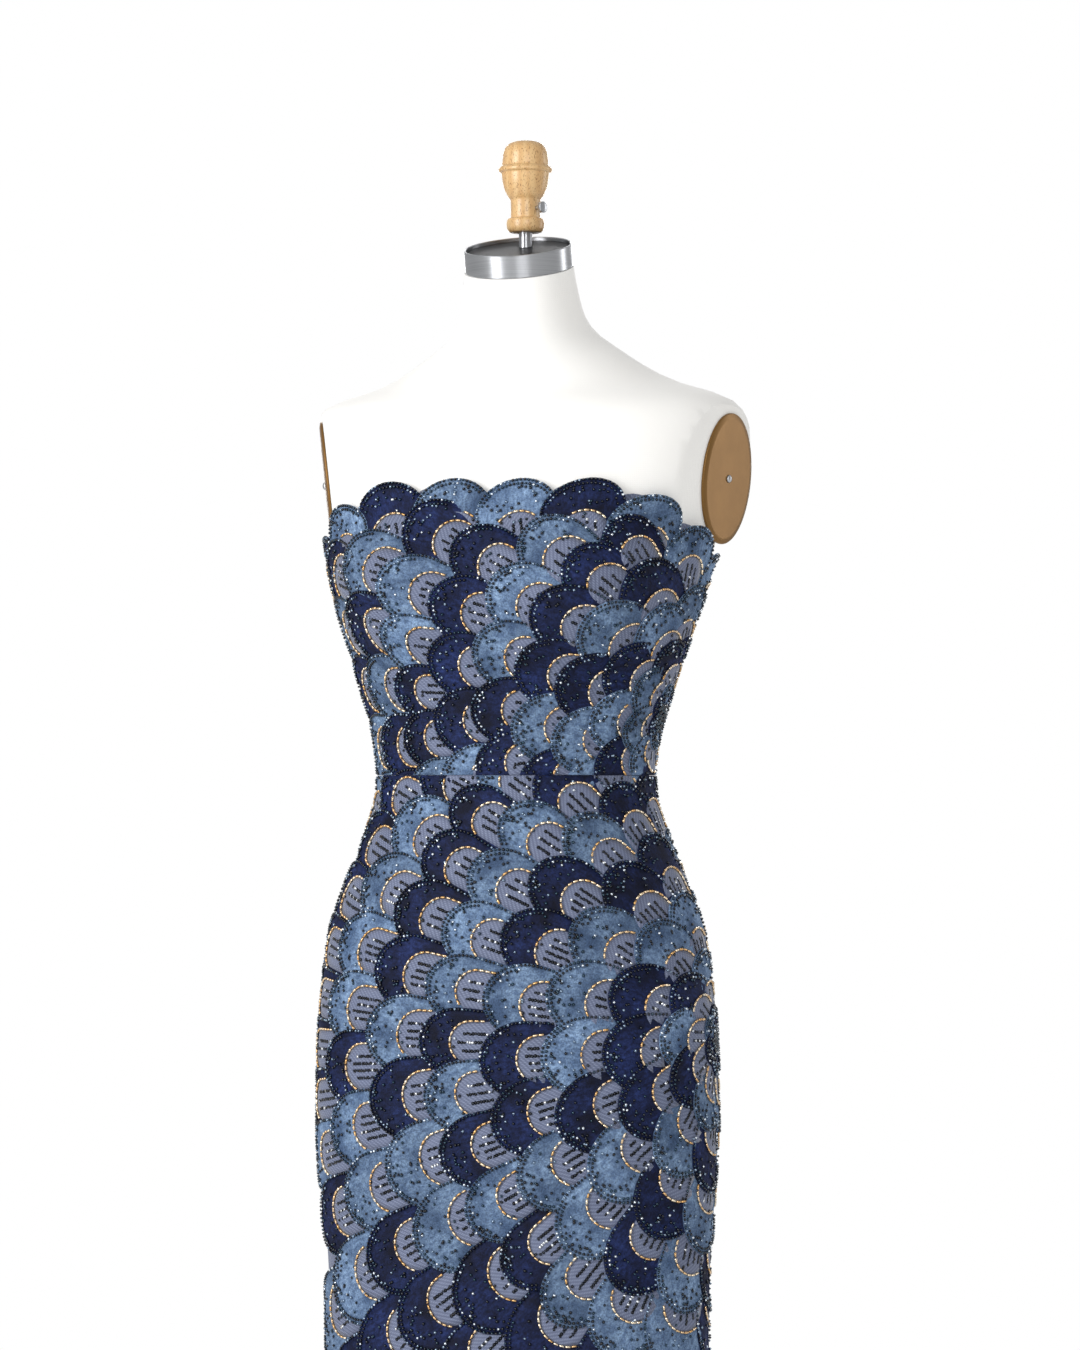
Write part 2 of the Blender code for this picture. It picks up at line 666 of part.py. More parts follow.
def make_torso():
    """The padded form: the figure itself, a little inside the cloth, cut off at the arms and the neck."""
    turns = np.arange(TURNS) * 2 * math.pi / TURNS
    rows = [*FIT_HEIGHTS, *FORM_HEIGHTS]
    rings = [figure_offset(turns, np.full(TURNS, h), np.full(TURNS, -FORM_EASE)) for h in rows]
    bm = loft(rings)
    for side in (-1, 1):
        cap_cut(bm, Vector((side * ARM_POINT.x, ARM_POINT.y, ARM_POINT.z)), arm_normal(side))
    cap_cut(bm, *neck_frame())
    bmesh.ops.dissolve_degenerate(bm, dist=1e-5, edges=bm.edges)
    bmesh.ops.recalc_face_normals(bm, faces=bm.faces)
    return add_object("form_torso", bm, "form_cover")


def turned(name, profile, finish_name, steps=32, frame=None):
    """A turned piece: a profile of (radius, height) down its outer side, spun with a Screw modifier."""
    closed = profile[0] == profile[-1]
    bm = bmesh.new()
    points = [bm.verts.new((r, 0, h)) for r, h in (profile[:-1] if closed else profile)]
    for a, b in zip(points, points[1:] + points[:1] if closed else points[1:]):
        bm.edges.new((a, b))
    made = add_object(name, bm, finish_name)
    if frame is not None:
        made.matrix_world = frame
    screw = made.modifiers.new("Turn", "SCREW")
    screw.steps = screw.render_steps = steps
    screw.use_merge_vertices = True
    screw.merge_threshold = 0.00001
    screw.use_smooth_shade = True
    return made


def facing(point, normal, upward=Vector((0, 0, 1))):
    """Frame at a point whose Z is the normal and whose Y is as near upward as it can be."""
    z = Vector(normal).normalized()
    x = upward.cross(z).normalized()
    y = z.cross(x)
    return Matrix.Translation(point) @ Matrix((x, y, z)).transposed().to_4x4()


def make_neck():
    """Steel ring, dark plate sunk in it, post, turned knob and thumb screw."""
    point, normal = neck_frame()
    tilt = facing(point + normal * FIT_GAP, normal, Vector((0, 1, 0)))
    inner = RING_RADIUS - RING_WALL
    turned(
        "neck_ring",
        [(inner, RING_HEIGHT), (RING_RADIUS, RING_HEIGHT), (RING_RADIUS, 0), (inner, 0), (inner, RING_HEIGHT)],
        "brushed_steel",
        32,
        tilt,
    )
    top = RING_HEIGHT - PLATE_DEPTH
    plate = inner - FIT_GAP
    turned(
        "neck_plate",
        [(0, top), (plate, top), (plate, 0), (0, 0)],
        "dark_steel",
        32,
        tilt,
    )
    seat = point + normal * (FIT_GAP * 2 + top)
    axis = Vector((seat.x, seat.y, KNOB_FOOT)) + POST_ASIDE
    bm = bmesh.new()
    bmesh.ops.create_cone(bm, cap_ends=True, segments=20, radius1=POST_RADIUS, radius2=POST_RADIUS, depth=0.06)
    bmesh.ops.translate(bm, verts=bm.verts, vec=axis - Vector((0, 0, FIT_GAP + 0.03)))
    cap_cut(bm, seat, -normal)
    bmesh.ops.recalc_face_normals(bm, faces=bm.faces)
    add_object("finial_post", bm, "brushed_steel")
    # Radius and height of the knob, from its crown down to its foot.
    crown = [(22.5 * math.sin(a), 62 + 21 * math.cos(a)) for a in np.linspace(0, math.pi / 2, 6)]
    body = [(22.6, 60), (24.4, 57.5), (24.4, 55), (22.6, 52.5), (21.6, 46), (19.4, 39), (16.2, 32)]
    foot_turning = [(14.4, 29), (14.1, 16), (14.3, 12), (16.6, 10.5), (16.9, 4.5), (14.5, 0.8), (13.2, 0), (0, 0)]
    profile = [(r * MM, h * MM) for r, h in [*crown, *body, *foot_turning]]
    turned("finial_knob", profile, "turned_beech", 22, Matrix.Translation(axis))
    away = math.radians(62)
    out = Vector((math.sin(away), -math.cos(away), 0))
    grip = facing(axis + Vector((0, 0, 21 * MM)) + out * (14.3 + 0.32) * MM, out)
    screw = [(0, 8.2), (3.6, 8.2), (5.0, 7.2), (5.0, 4.2), (3.8, 3.4), (1.9, 3.2), (1.9, 0), (0, 0)]
    turned("thumb_screw", [(r * MM, h * MM) for r, h in screw], "brushed_steel", 12, grip)


def make_arm_plates():
    """An oval plate on each arm cut, with the head of the screw that holds it."""
    for side, name in ((1, "left"), (-1, "right")):
        normal = arm_normal(side)
        centre = Vector((side * ARM_POINT.x, ARM_POINT.y, ARM_POINT.z))
        frame = facing(centre + normal * FIT_GAP, normal)
        bm = bmesh.new()
        bmesh.ops.create_circle(bm, cap_ends=True, segments=28, radius=1)
        bmesh.ops.scale(bm, vec=(ARM_HALF_WIDTH, ARM_HALF_HEIGHT, 1), verts=bm.verts)
        grown = bmesh.ops.extrude_face_region(bm, geom=bm.faces[:])
        top = [v for v in grown["geom"] if isinstance(v, bmesh.types.BMVert)]
        bmesh.ops.translate(bm, verts=top, vec=(0, 0, 0.6 * ARM_THICK))
        face = [f for f in bm.faces if all(v in top for v in f.verts)]
        bmesh.ops.inset_region(bm, faces=face, thickness=5 * MM, depth=0.4 * ARM_THICK)
        bmesh.ops.recalc_face_normals(bm, faces=bm.faces)
        bmesh.ops.transform(bm, matrix=frame, verts=bm.verts)
        add_object(f"arm_plate_{name}", bm, "arm_plate_bronze")
        head = [(0, 2.2), (1.8, 2.0), (3.0, 1.3), (3.5, 0.2), (3.5, 0), (0, 0)]
        seat = facing(centre + normal * (2 * FIT_GAP + ARM_THICK), normal)
        turned(f"arm_screw_{name}", [(r * MM, h * MM) for r, h in head], "brushed_steel", 12, seat)


def make_stand():
    """Flat round base with a boss, and the pole that carries the form on a flange."""
    r = BASE_RADIUS
    base = [(0, 52 * MM), (24 * MM, 52 * MM), (27 * MM, 48 * MM), (29 * MM, 24 * MM), (40 * MM, 17 * MM)]
    base += [(r - 14 * MM, 11 * MM), (r - 3 * MM, 7 * MM), (r, 3 * MM), (r, 0), (0, 0)]
    turned("stand_base", base, "black_iron", 40)
    top = WAIST + FORM_FOOT - FIT_GAP
    pole = [(0, top), (FLANGE_RADIUS, top), (FLANGE_RADIUS, top - 6 * MM), (22 * MM, top - 10 * MM)]
    pole += [(POLE_RADIUS, top - 30 * MM), (POLE_RADIUS, 52 * MM + FIT_GAP), (0, 52 * MM + FIT_GAP)]
    turned("stand_pole", pole, "brushed_steel", 24)


def zip_frame(height, lift):
    """Frame on the centre back whose Z stands out from the cloth and whose Y runs up it."""
    turn = np.array([math.pi])
    here = figure_offset(turn, np.array([height]), np.array([lift]))[0]
    above = figure_offset(turn, np.array([height + 2 * MM]), np.array([lift]))[0]
    up = Vector(above - here).normalized()
    out = Vector((1, 0, 0)).cross(up)
    return facing(Vector(here), out if out.y > 0 else -out, up)


def make_zip():
    """Zip tape in the slot between the backs, its slider with two ears and a pin, and the pull tab."""
    heights = [ZIP_FOOT + 0.2 * MM, *seam_heights(ZIP_FOOT, ZIP_TOP), ZIP_TOP]
    rings = []
    for h in heights:
        half = ZIP_WIDTH / 2 / girth_radius(h)
        turns = np.array([math.pi - half, math.pi, math.pi + half, math.pi + half, math.pi, math.pi - half])
        lifts = np.array([0, 0, 0, CLOTH + 0.2 * MM, CLOTH + 0.6 * MM, CLOTH + 0.2 * MM])
        rings.append(figure_offset(turns, np.full(6, h), lifts))
    bm = loft(rings)
    bmesh.ops.recalc_face_normals(bm, faces=bm.faces)
    add_object("back_zip", bm, "zip_tape")

    seat = zip_frame(ZIP_TOP - 9 * MM, CLOTH + 0.95 * MM)
    slider = block("zip_slider", seat, (0, 0, 0.9), (5.6, 10, 1.8))
    for side in (-1, 1):
        join(slider, block(f"slider_ear_{side}", seat, (2.1 * side, 3, 2.7), (1.0, 3.2, 3.2)), "UNION")
    hinge = seat @ Vector((0, 3 * MM, 3.4 * MM))
    join(slider, bar("slider_pin", hinge, 0.45 * MM, 4.6 * MM), "UNION")

    # The tab hangs from the pin: a barrel between the ears, a neck below it and a drop-shaped grip.
    half = [(1.25, 0.4), (1.25, -3.4), (2.1, -8.0), (2.6, -14.0), (2.0, -18.6)]
    ends = [*half, (0, -20.6), *[(-x, y) for x, y in half[::-1]]]
    bm = bmesh.new()
    bm.faces.new([bm.verts.new((x * MM, -0.5 * MM, y * MM)) for x, y in ends])
    grown = bmesh.ops.extrude_face_region(bm, geom=bm.faces[:])
    far = [v for v in grown["geom"] if isinstance(v, bmesh.types.BMVert)]
    bmesh.ops.translate(bm, verts=far, vec=(0, 1.0 * MM, 0))
    bmesh.ops.recalc_face_normals(bm, faces=bm.faces)
    bmesh.ops.translate(bm, verts=bm.verts, vec=hinge)
    tab = add_object("pull_tab", bm, "brushed_steel", smooth=False)
    join(tab, bar("tab_barrel", hinge, 1.3 * MM, 2.5 * MM), "UNION")
    join(tab, bar("tab_bore", hinge, 0.8 * MM, 6 * MM), "DIFFERENCE")


def block(name, frame, centre, size):
    """A box in a frame, its centre and size in millimetres."""
    bm = bmesh.new()
    bmesh.ops.create_cube(bm, size=1)
    bmesh.ops.scale(bm, vec=[s * MM for s in size], verts=bm.verts)
    bmesh.ops.translate(bm, vec=[c * MM for c in centre], verts=bm.verts)
    bmesh.ops.transform(bm, matrix=frame, verts=bm.verts)
    return add_object(name, bm, "brushed_steel", smooth=False)


def bar(name, centre, radius, length):
    """A round bar along X."""
    bm = bmesh.new()
    bmesh.ops.create_cone(bm, cap_ends=True, segments=16, radius1=radius, radius2=radius, depth=length)
    bmesh.ops.rotate(bm, verts=bm.verts, matrix=Matrix.Rotation(math.pi / 2, 3, "Y"))
    bmesh.ops.translate(bm, verts=bm.verts, vec=centre)
    return add_object(name, bm, "brushed_steel", smooth=False)


def join(target, tool, operation):
    """Adds or cuts a tool, which is then kept with the cutters."""
    made = target.modifiers.new(tool.name, "BOOLEAN")
    made.operation = operation
    made.solver = "EXACT"
    made.object = tool
    tool.hide_render = True
    tool.display_type = "WIRE"
    bpy.data.collections["Mermaid gown on a form"].objects.unlink(tool)
    bpy.data.collections["Cutters"].objects.link(tool)


def main():
    clean_scene()
    bodice = fan_petals(BODICE_FAN)
    bodice = [p for p in bodice if p.height < neck_height(p.turn) - 22 * MM] + neckline_petals()
    skirt = fan_petals(SKIRT_FAN)
    half = math.pi / 2
    waist_up, waist_down = SEAM_GAP / 2, -SEAM_GAP / 2
    panel("bodice_front", -half, half, lambda t: waist_up, top_edge, bodice, (False, False))
    panel("bodice_back_left", half, 2 * half, lambda t: waist_up, top_edge, bodice, (False, True))
    panel("bodice_back_right", 2 * half, 3 * half, lambda t: waist_up, top_edge, bodice, (True, False))
    panel("skirt_front", -half, half, lambda t: HEM, lambda t: waist_down, skirt, (False, False))
    panel("skirt_back_left", half, 2 * half, lambda t: HEM, lambda t: waist_down, skirt, (False, True))
    panel("skirt_back_right", 2 * half, 3 * half, lambda t: HEM, lambda t: waist_down, skirt, (True, False))
    make_torso()
    make_neck()
    make_arm_plates()
    make_stand()
    make_zip()


main()
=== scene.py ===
"""Strapless mermaid evening gown on a limbless dress form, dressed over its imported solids.

The sections follow the object as it is put together: stand, form, neck fittings, the six cloth panels of
the gown, the velvet petals on them, their tulle windows, the beadwork, the zip, then the studio.
"""

import math
from collections import namedtuple

import bmesh
import bpy
import numpy as np
from mathutils import Matrix, Vector


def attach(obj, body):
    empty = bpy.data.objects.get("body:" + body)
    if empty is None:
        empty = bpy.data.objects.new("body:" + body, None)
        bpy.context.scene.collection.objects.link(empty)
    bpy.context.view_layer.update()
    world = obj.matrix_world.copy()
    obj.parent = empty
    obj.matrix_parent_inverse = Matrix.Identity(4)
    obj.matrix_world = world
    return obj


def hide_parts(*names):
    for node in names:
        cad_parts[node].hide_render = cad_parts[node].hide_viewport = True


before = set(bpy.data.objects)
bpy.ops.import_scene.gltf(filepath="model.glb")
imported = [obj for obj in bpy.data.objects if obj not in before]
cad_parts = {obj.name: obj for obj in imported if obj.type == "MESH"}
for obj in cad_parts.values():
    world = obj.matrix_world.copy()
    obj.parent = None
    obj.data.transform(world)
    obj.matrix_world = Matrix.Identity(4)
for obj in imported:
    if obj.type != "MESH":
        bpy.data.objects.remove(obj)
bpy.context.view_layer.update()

MM = 0.001

# Stand base.
# A flat round foot with a boss for the pole, cast in iron and painted satin black.
# It stands on the floor by its own weight.
BASE_RADIUS = 205 * MM
BOSS_TOP = 52 * MM


def colour(code):
    """Linear colour, with alpha, of an sRGB hex code."""
    parts = [int(code[i : i + 2], 16) / 255 for i in (1, 3, 5)]
    return (*[p / 12.92 if p <= 0.04045 else ((p + 0.055) / 1.055) ** 2.4 for p in parts], 1.0)


def add_node(tree, kind, inputs=None, **settings):
    """Adds a node, with its settings, and sets or links its inputs, which are given by name or place."""
    made = tree.nodes.new(kind)
    for name, value in settings.items():
        setattr(made, name, value)
    for name, value in (inputs or {}).items():
        if isinstance(value, bpy.types.NodeSocket):
            tree.links.new(value, made.inputs[name])
        else:
            made.inputs[name].default_value = value
    return made


def new_finish(name, **fixed):
    """A material with its Principled shader, whose fixed sockets are named with underscores for spaces."""
    made = bpy.data.materials.new(name)
    made.use_nodes = True
    shader = made.node_tree.nodes["Principled BSDF"]
    for socket, value in fixed.items():
        shader.inputs[socket.replace("_", " ")].default_value = value
    return made, made.node_tree, shader


def feed(shader, **sources):
    """Links outputs of other nodes to sockets of a shader, named with underscores for spaces."""
    for socket, source in sources.items():
        shader.id_data.links.new(source, shader.inputs[socket.replace("_", " ")])


def eased(points, cuts=4):
    """A smooth line through the points of a turned profile, with cuts steps between each two."""
    line = []
    padded = [points[0], *points, points[-1]]
    for a, b, c, d in zip(padded, padded[1:], padded[2:], padded[3:]):
        for t in np.arange(cuts) / cuts:
            bend = [
                0.5 * (
                    2 * q + (r - p) * t + (2 * p - 5 * q + 4 * r - s) * t**2 + (3 * q - p - 3 * r + s) * t**3
                )
                for p, q, r, s in zip(a, b, c, d)
            ]
            line.append((max(bend[0], 0), bend[1]))
    return [*line, points[-1]]


def put(name, bm, finishes, node=None, smooth=True, body="gown_and_form"):
    """Puts a finished bmesh in the scene as one piece that rides on a body."""
    mesh = bpy.data.meshes.new(name)
    bm.to_mesh(mesh)
    bm.free()
    if smooth:
        mesh.shade_smooth()
        mesh.set_sharp_from_angle(angle=math.radians(35))
    made = bpy.data.objects.new(name, mesh)
    bpy.context.scene.collection.objects.link(made)
    for finish in finishes:
        mesh.materials.append(finish)
    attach(made, body)
    if node:
        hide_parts(node)
    return made


def spun(profile, steps=96, place=None):
    """A turned solid: a line of (radius, height) in metres from its top to its foot, spun round Z."""
    bm = bmesh.new()
    line = [bm.verts.new((max(r, 0), 0, h)) for r, h in profile]
    for a, b in zip(line, line[1:]):
        bm.edges.new((a, b))
    bmesh.ops.spin(
        bm, geom=bm.verts[:] + bm.edges[:], axis=(0, 0, 1), cent=(0, 0, 0), steps=steps, angle=2 * math.pi,
        use_merge=True,
    )
    bmesh.ops.remove_doubles(bm, verts=bm.verts, dist=1e-6)
    bmesh.ops.dissolve_degenerate(bm, dist=1e-7, edges=bm.edges)
    bmesh.ops.recalc_face_normals(bm, faces=bm.faces)
    if place is not None:
        bmesh.ops.transform(bm, matrix=place, verts=bm.verts)
    return bm


# Cast iron under satin black paint: the sand of the mould leaves a low orange-peel grain, drawn at 3 mm.
black_iron, tree, shader = new_finish("Cast_iron_painted_satin_black", Metallic=0.35)
spot = add_node(tree, "ShaderNodeTexCoord").outputs["Object"]
grain = add_node(tree, "ShaderNodeTexNoise", {"Vector": spot, "Scale": 330.0, "Detail": 3.0}).outputs["Fac"]
cloud = add_node(tree, "ShaderNodeTexNoise", {"Vector": spot, "Scale": 9.0, "Detail": 2.0}).outputs["Fac"]
tint = add_node(
    tree, "ShaderNodeMix", {0: cloud, 6: colour("#17171A"), 7: colour("#26272B")}, data_type="RGBA"
).outputs[2]
gloss = add_node(
    tree, "ShaderNodeMapRange", {"Value": grain, "To Min": 0.34, "To Max": 0.52}
).outputs["Result"]
bump = add_node(
    tree, "ShaderNodeBump", {"Height": grain, "Strength": 0.25, "Distance": 0.0004}
).outputs["Normal"]
feed(shader, Base_Color=tint, Roughness=gloss, Normal=bump)

foot = [(0, BOSS_TOP), (22 * MM, BOSS_TOP), (25 * MM, 51 * MM), (27 * MM, 48 * MM), (29 * MM, 26 * MM)]
foot += [(31 * MM, 20.5 * MM), (40 * MM, 17 * MM), (BASE_RADIUS - 14 * MM, 11 * MM)]
foot += [(BASE_RADIUS - 6 * MM, 9 * MM), (BASE_RADIUS - 1.6 * MM, 5.6 * MM), (BASE_RADIUS, 3 * MM)]
foot += [(BASE_RADIUS, 0.8 * MM), (BASE_RADIUS - 0.8 * MM, 0), (0, 0)]
put("stand_base_cast", spun(foot), [black_iron], "stand_base")

# Stand pole.
# A steel tube, ground and brushed round, with a flange screwed up under the form's foot.
# It stands in the boss of the base.
WAIST = 1.070
FORM_FOOT = -0.300
FIT_GAP = 0.32 * MM
POLE_RADIUS = 15 * MM
POLE_TOP = WAIST + FORM_FOOT - FIT_GAP


def brushed_steel_finish(name, turn):
    """Brushed stainless steel: grinding round the piece leaves fine rings that stretch highlights across
    them. They are about 0.1 mm apart in truth, drawn at 0.8 mm. turn tips the rings, in degrees about X."""
    made, tree, shader = new_finish(name, Metallic=1.0, Anisotropic=0.9, Anisotropic_Rotation=0.25)
    spot = add_node(tree, "ShaderNodeTexCoord").outputs["Object"]
    tipped = add_node(
        tree, "ShaderNodeMapping",
        {"Vector": spot, "Rotation": (math.radians(turn), 0, 0), "Scale": (4, 4, 620)},
    ).outputs["Vector"]
    rings = add_node(
        tree, "ShaderNodeTexNoise", {"Vector": tipped, "Scale": 2.0, "Detail": 4.0}
    ).outputs["Fac"]
    tint = add_node(
        tree, "ShaderNodeMix", {0: rings, 6: colour("#A9ABB0"), 7: colour("#D6D8DB")}, data_type="RGBA"
    ).outputs[2]
    gloss = add_node(
        tree, "ShaderNodeMapRange", {"Value": rings, "To Min": 0.3, "To Max": 0.44}
    ).outputs["Result"]
    scratch = add_node(tree, "ShaderNodeBump", {"Height": rings, "Strength": 0.12, "Distance": 0.0002})
    feed(shader, Base_Color=tint, Roughness=gloss, Normal=scratch.outputs["Normal"])
    return made


steel = brushed_steel_finish("Stainless_steel_brushed_round", 0)
pole = [(0, POLE_TOP), (46.5 * MM, POLE_TOP), (48 * MM, POLE_TOP - 1.5 * MM), (48 * MM, POLE_TOP - 5 * MM)]
pole += [(46 * MM, POLE_TOP - 6.5 * MM), (22 * MM, POLE_TOP - 10 * MM), (17 * MM, POLE_TOP - 18 * MM)]
pole += [(POLE_RADIUS, POLE_TOP - 30 * MM), (POLE_RADIUS, BOSS_TOP + FIT_GAP), (0, BOSS_TOP + FIT_GAP)]
put("stand_pole_tube", spun(pole, 64), [steel], "stand_pole")

# Dress form torso.
# A padded shell covered in off-white cotton jersey, stretched smooth, cut flat at the arms and the neck.
# The gown rests on it, so its shape is the figure that every cloth panel follows.
Section = namedtuple("Section", "height half_width front back side_y tilt square")
FIGURE = [
    Section(-1062, 385, 352, 392, 8, 0, 2),
    Section(-940, 328, 291, 328, 8, 0, 2),
    Section(-840, 270, 228, 260, 7, 0, 2),
    Section(-740, 215, 166, 192, 6, 0, 2),
    Section(-650, 178, 120, 140, 4, 0, 2),
    Section(-560, 163, 101, 113, 2, 0, 2),
    Section(-503, 168, 101, 112, 1, 0, 2),
    Section(-452, 168.5, 102, 113, 0, 0, 2),
    Section(-361, 174, 104, 119, 0, 0, 2),
    Section(-300, 176.5, 106, 127, 0, 0, 2),
    Section(-236, 175.5, 108, 134, 0, 0, 2),
    Section(-180, 170.5, 108, 132, 0, 0, 2),
    Section(-141, 165, 107, 125, 0, 0, 2),
    Section(-97, 150, 104, 113, 0, 0, 2),
    Section(-48, 130.5, 98, 97, 0, 0, 2),
    Section(-18, 121.5, 94, 89, 0, 0, 2),
    Section(0, 120.3, 92, 87, 0, 0, 2),
    Section(28, 123, 92, 87, 1, 0, 2),
    Section(78, 136.8, 96, 90, 3, 0, 2),
    Section(107, 146, 99, 92, 6, 0, 2),
    Section(129, 153.5, 101, 94, 8, 0, 2),
    Section(165, 165.5, 102, 97, 12, 0, 2),
    Section(190, 172, 100, 101, 18, 0, 2),
    Section(215, 178, 97, 105, 30, 0, 2.05),
    Section(240, 188, 94, 109, 44, 0, 2.15),
    Section(262, 199, 90, 112, 54, 0, 2.25),
    Section(290, 201, 83, 112, 56, 0, 2.35),
    Section(310, 200, 76, 109, 54, 1, 2.35),
    Section(325, 195, 68, 104, 50, 2, 2.3),
    Section(337, 181, 60, 99, 46, 4, 2.2),
    Section(348, 144, 53, 94, 41, 7, 2.1),
    Section(359, 118, 48, 89, 36, 10, 2),
    Section(369, 101, 44, 85, 32, 12, 2),
    Section(380, 84, 41, 80, 28, 14, 2),
    Section(391, 68, 39, 76, 24, 16, 2),
    Section(401, 60, 38, 72, 20, 17, 2),
    Section(412, 56, 37.5, 68, 17, 17, 2),
    Section(430, 52.5, 38, 62, 13, 17, 2),
    Section(449, 49.5, 38, 58, 10, 17, 2),
]
BUST_TURN = math.radians(33)
BUST_SPREAD = math.radians(25)
BUST_HEIGHT = 0.158
BUST_RISE = 0.068
BUST_FALL = 0.052
BUST_DEPTH = 0.031
HEM = -1.060
KNEE = -0.560
Flute = namedtuple("Flute", "turn depth spread")
FLUTES = [
    Flute(4, 30, 14),
    Flute(37, 24, 12),
    Flute(70, 32, 15),
    Flute(106, 27, 13),
    Flute(139, 33, 14),
    Flute(171, 28, 13),
    Flute(205, 34, 15),
    Flute(240, 25, 12),
    Flute(273, 31, 14),
    Flute(303, 26, 12),
    Flute(333, 29, 13),
]
FLUTE_MEAN = 16 * MM
FORM_EASE = 0.9 * MM
FORM_STATIONS = 96
FORM_ROWS = 96
NECK_TILT = math.radians(17)
NECK_SEAT = Vector((0, 12 * MM, WAIST + 451 * MM))
ARM_POINT = Vector((183.5 * MM, 30 * MM, WAIST + 262 * MM))
ARM_FORWARD = math.radians(18)
ARM_DOWN = math.radians(6)

HEIGHTS = np.array([row.height for row in FIGURE]) * MM
UNITS = {"half_width": MM, "front": MM, "back": MM, "side_y": MM, "tilt": math.pi / 180, "square": 1}
COLUMNS = {name: np.array([getattr(row, name) for row in FIGURE]) * unit for name, unit in UNITS.items()}


def slopes_of(heights, values):
    """Slopes of a monotone cubic through the rows, so that no section bulges between two rows."""
    step = np.diff(heights)
    rise = np.diff(values) / step
    slope = np.zeros_like(values)
    slope[0], slope[-1] = rise[0], rise[-1]
    before, after = 2 * step[1:] + step[:-1], step[1:] + 2 * step[:-1]
    rising = rise[:-1] * rise[1:] > 0
    safe = np.where(rising, rise[:-1], 1), np.where(rising, rise[1:], 1)
    slope[1:-1] = np.where(rising, (before + after) / (before / safe[0] + after / safe[1]), 0)
    return slope


SLOPES = {name: slopes_of(HEIGHTS, values) for name, values in COLUMNS.items()}


def read(name, height):
    """One column of the figure at any height."""
    height = np.clip(height, HEIGHTS[0], HEIGHTS[-1])
    i = np.clip(np.searchsorted(HEIGHTS, height) - 1, 0, len(HEIGHTS) - 2)
    step = HEIGHTS[i + 1] - HEIGHTS[i]
    t = (height - HEIGHTS[i]) / step
    y, m = COLUMNS[name], SLOPES[name]
    ends = (2 * t**3 - 3 * t**2 + 1) * y[i] + (3 * t**2 - 2 * t**3) * y[i + 1]
    return ends + (t**3 - 2 * t**2 + t) * step * m[i] + (t**3 - t**2) * step * m[i + 1]


def outline(angle, height):
    """Plan outline of a section at an eccentric angle, 0 at the centre front."""
    power = 2 / read("square", height)
    across = np.sign(np.sin(angle)) * np.abs(np.sin(angle)) ** power
    ahead = np.sign(np.cos(angle)) * np.abs(np.cos(angle)) ** power
    front, back, side_y = read("front", height), read("back", height), read("side_y", height)
    depth = np.where(ahead > 0, side_y + front, back - side_y)
    return read("half_width", height) * across, side_y - depth * ahead


# Turns are measured by arc length, so that equal turns are equal lengths of cloth at every height.
TABLE_STEP = 5 * MM
TABLE_HEIGHTS = np.arange(-1.070, 0.475, TABLE_STEP)
HALF_TURNS = np.linspace(0, math.pi, 91)
fine = np.linspace(0, math.pi, 721)
girths, angles = [], []
for height in TABLE_HEIGHTS:
    x, y = outline(fine, np.full(len(fine), height))
    run = np.concatenate([[0], np.cumsum(np.hypot(np.diff(x), np.diff(y)))])
    girths.append(run[-1])
    angles.append(np.interp(HALF_TURNS / math.pi * run[-1], run, fine))
HALF_GIRTHS, ANGLES = np.array(girths), np.array(angles)


def girth_radius(height):
    """Length of cloth in one radian of turn."""
    return np.interp(height, TABLE_HEIGHTS, HALF_GIRTHS) / math.pi


def angle_at(turn, height):
    """Eccentric angle for an arc-length turn, read from the table between its rows."""
    turn = (turn + math.pi) % (2 * math.pi) - math.pi
    row = np.clip((height - TABLE_HEIGHTS[0]) / TABLE_STEP, 0, len(TABLE_HEIGHTS) - 1)
    column = np.abs(turn) / math.pi * (len(HALF_TURNS) - 1)
    i = np.minimum(row.astype(int), len(TABLE_HEIGHTS) - 2)
    j = np.minimum(column.astype(int), len(HALF_TURNS) - 2)
    p, q = row - i, column - j
    low = ANGLES[i, j] * (1 - q) + ANGLES[i, j + 1] * q
    high = ANGLES[i + 1, j] * (1 - q) + ANGLES[i + 1, j + 1] * q
    return np.sign(turn) * (low * (1 - p) + high * p)


def figure_point(turn, height):
    """A point on the figure: the girth outline, the bust mounds and the flutes of the hem."""
    angle = angle_at(turn, height)
    x, y = outline(angle, height)
    spread = np.where(height > BUST_HEIGHT, BUST_RISE, BUST_FALL)
    mound = np.exp(-(((height - BUST_HEIGHT) / spread) ** 2))
    sides = sum(np.exp(-(((angle - side * BUST_TURN) / BUST_SPREAD) ** 2)) for side in (-1, 1))
    push = BUST_DEPTH * mound * sides
    fall = np.clip((KNEE - height) / (KNEE - HEM), 0, 1) ** 1.5
    flutes = -FLUTE_MEAN
    for flute in FLUTES:
        away = (turn - math.radians(flute.turn) + math.pi) % (2 * math.pi) - math.pi
        flutes = flutes + flute.depth * MM * np.exp(-((away / math.radians(flute.spread)) ** 2))
    stand = fall * flutes
    x = x + (0.5 * push + stand) * np.sin(angle)
    y = y - (push + stand) * np.cos(angle)
    z = WAIST + height + (y - read("side_y", height)) * np.tan(read("tilt", height))
    return np.stack([x, y, z], axis=-1)


def on_cloth(turn, height, lift):
    """Points lifted off the figure along its normal, and those normals."""
    turn, height, lift = np.broadcast_arrays(*(np.asarray(a, float) for a in (turn, height, lift)))
    small = 1e-4
    round_way = figure_point(turn + small, height) - figure_point(turn - small, height)
    up_way = figure_point(turn, height + small) - figure_point(turn, height - small)
    normal = np.cross(round_way, up_way)
    normal /= np.linalg.norm(normal, axis=-1, keepdims=True)
    return figure_point(turn, height) + normal * lift[..., None], normal


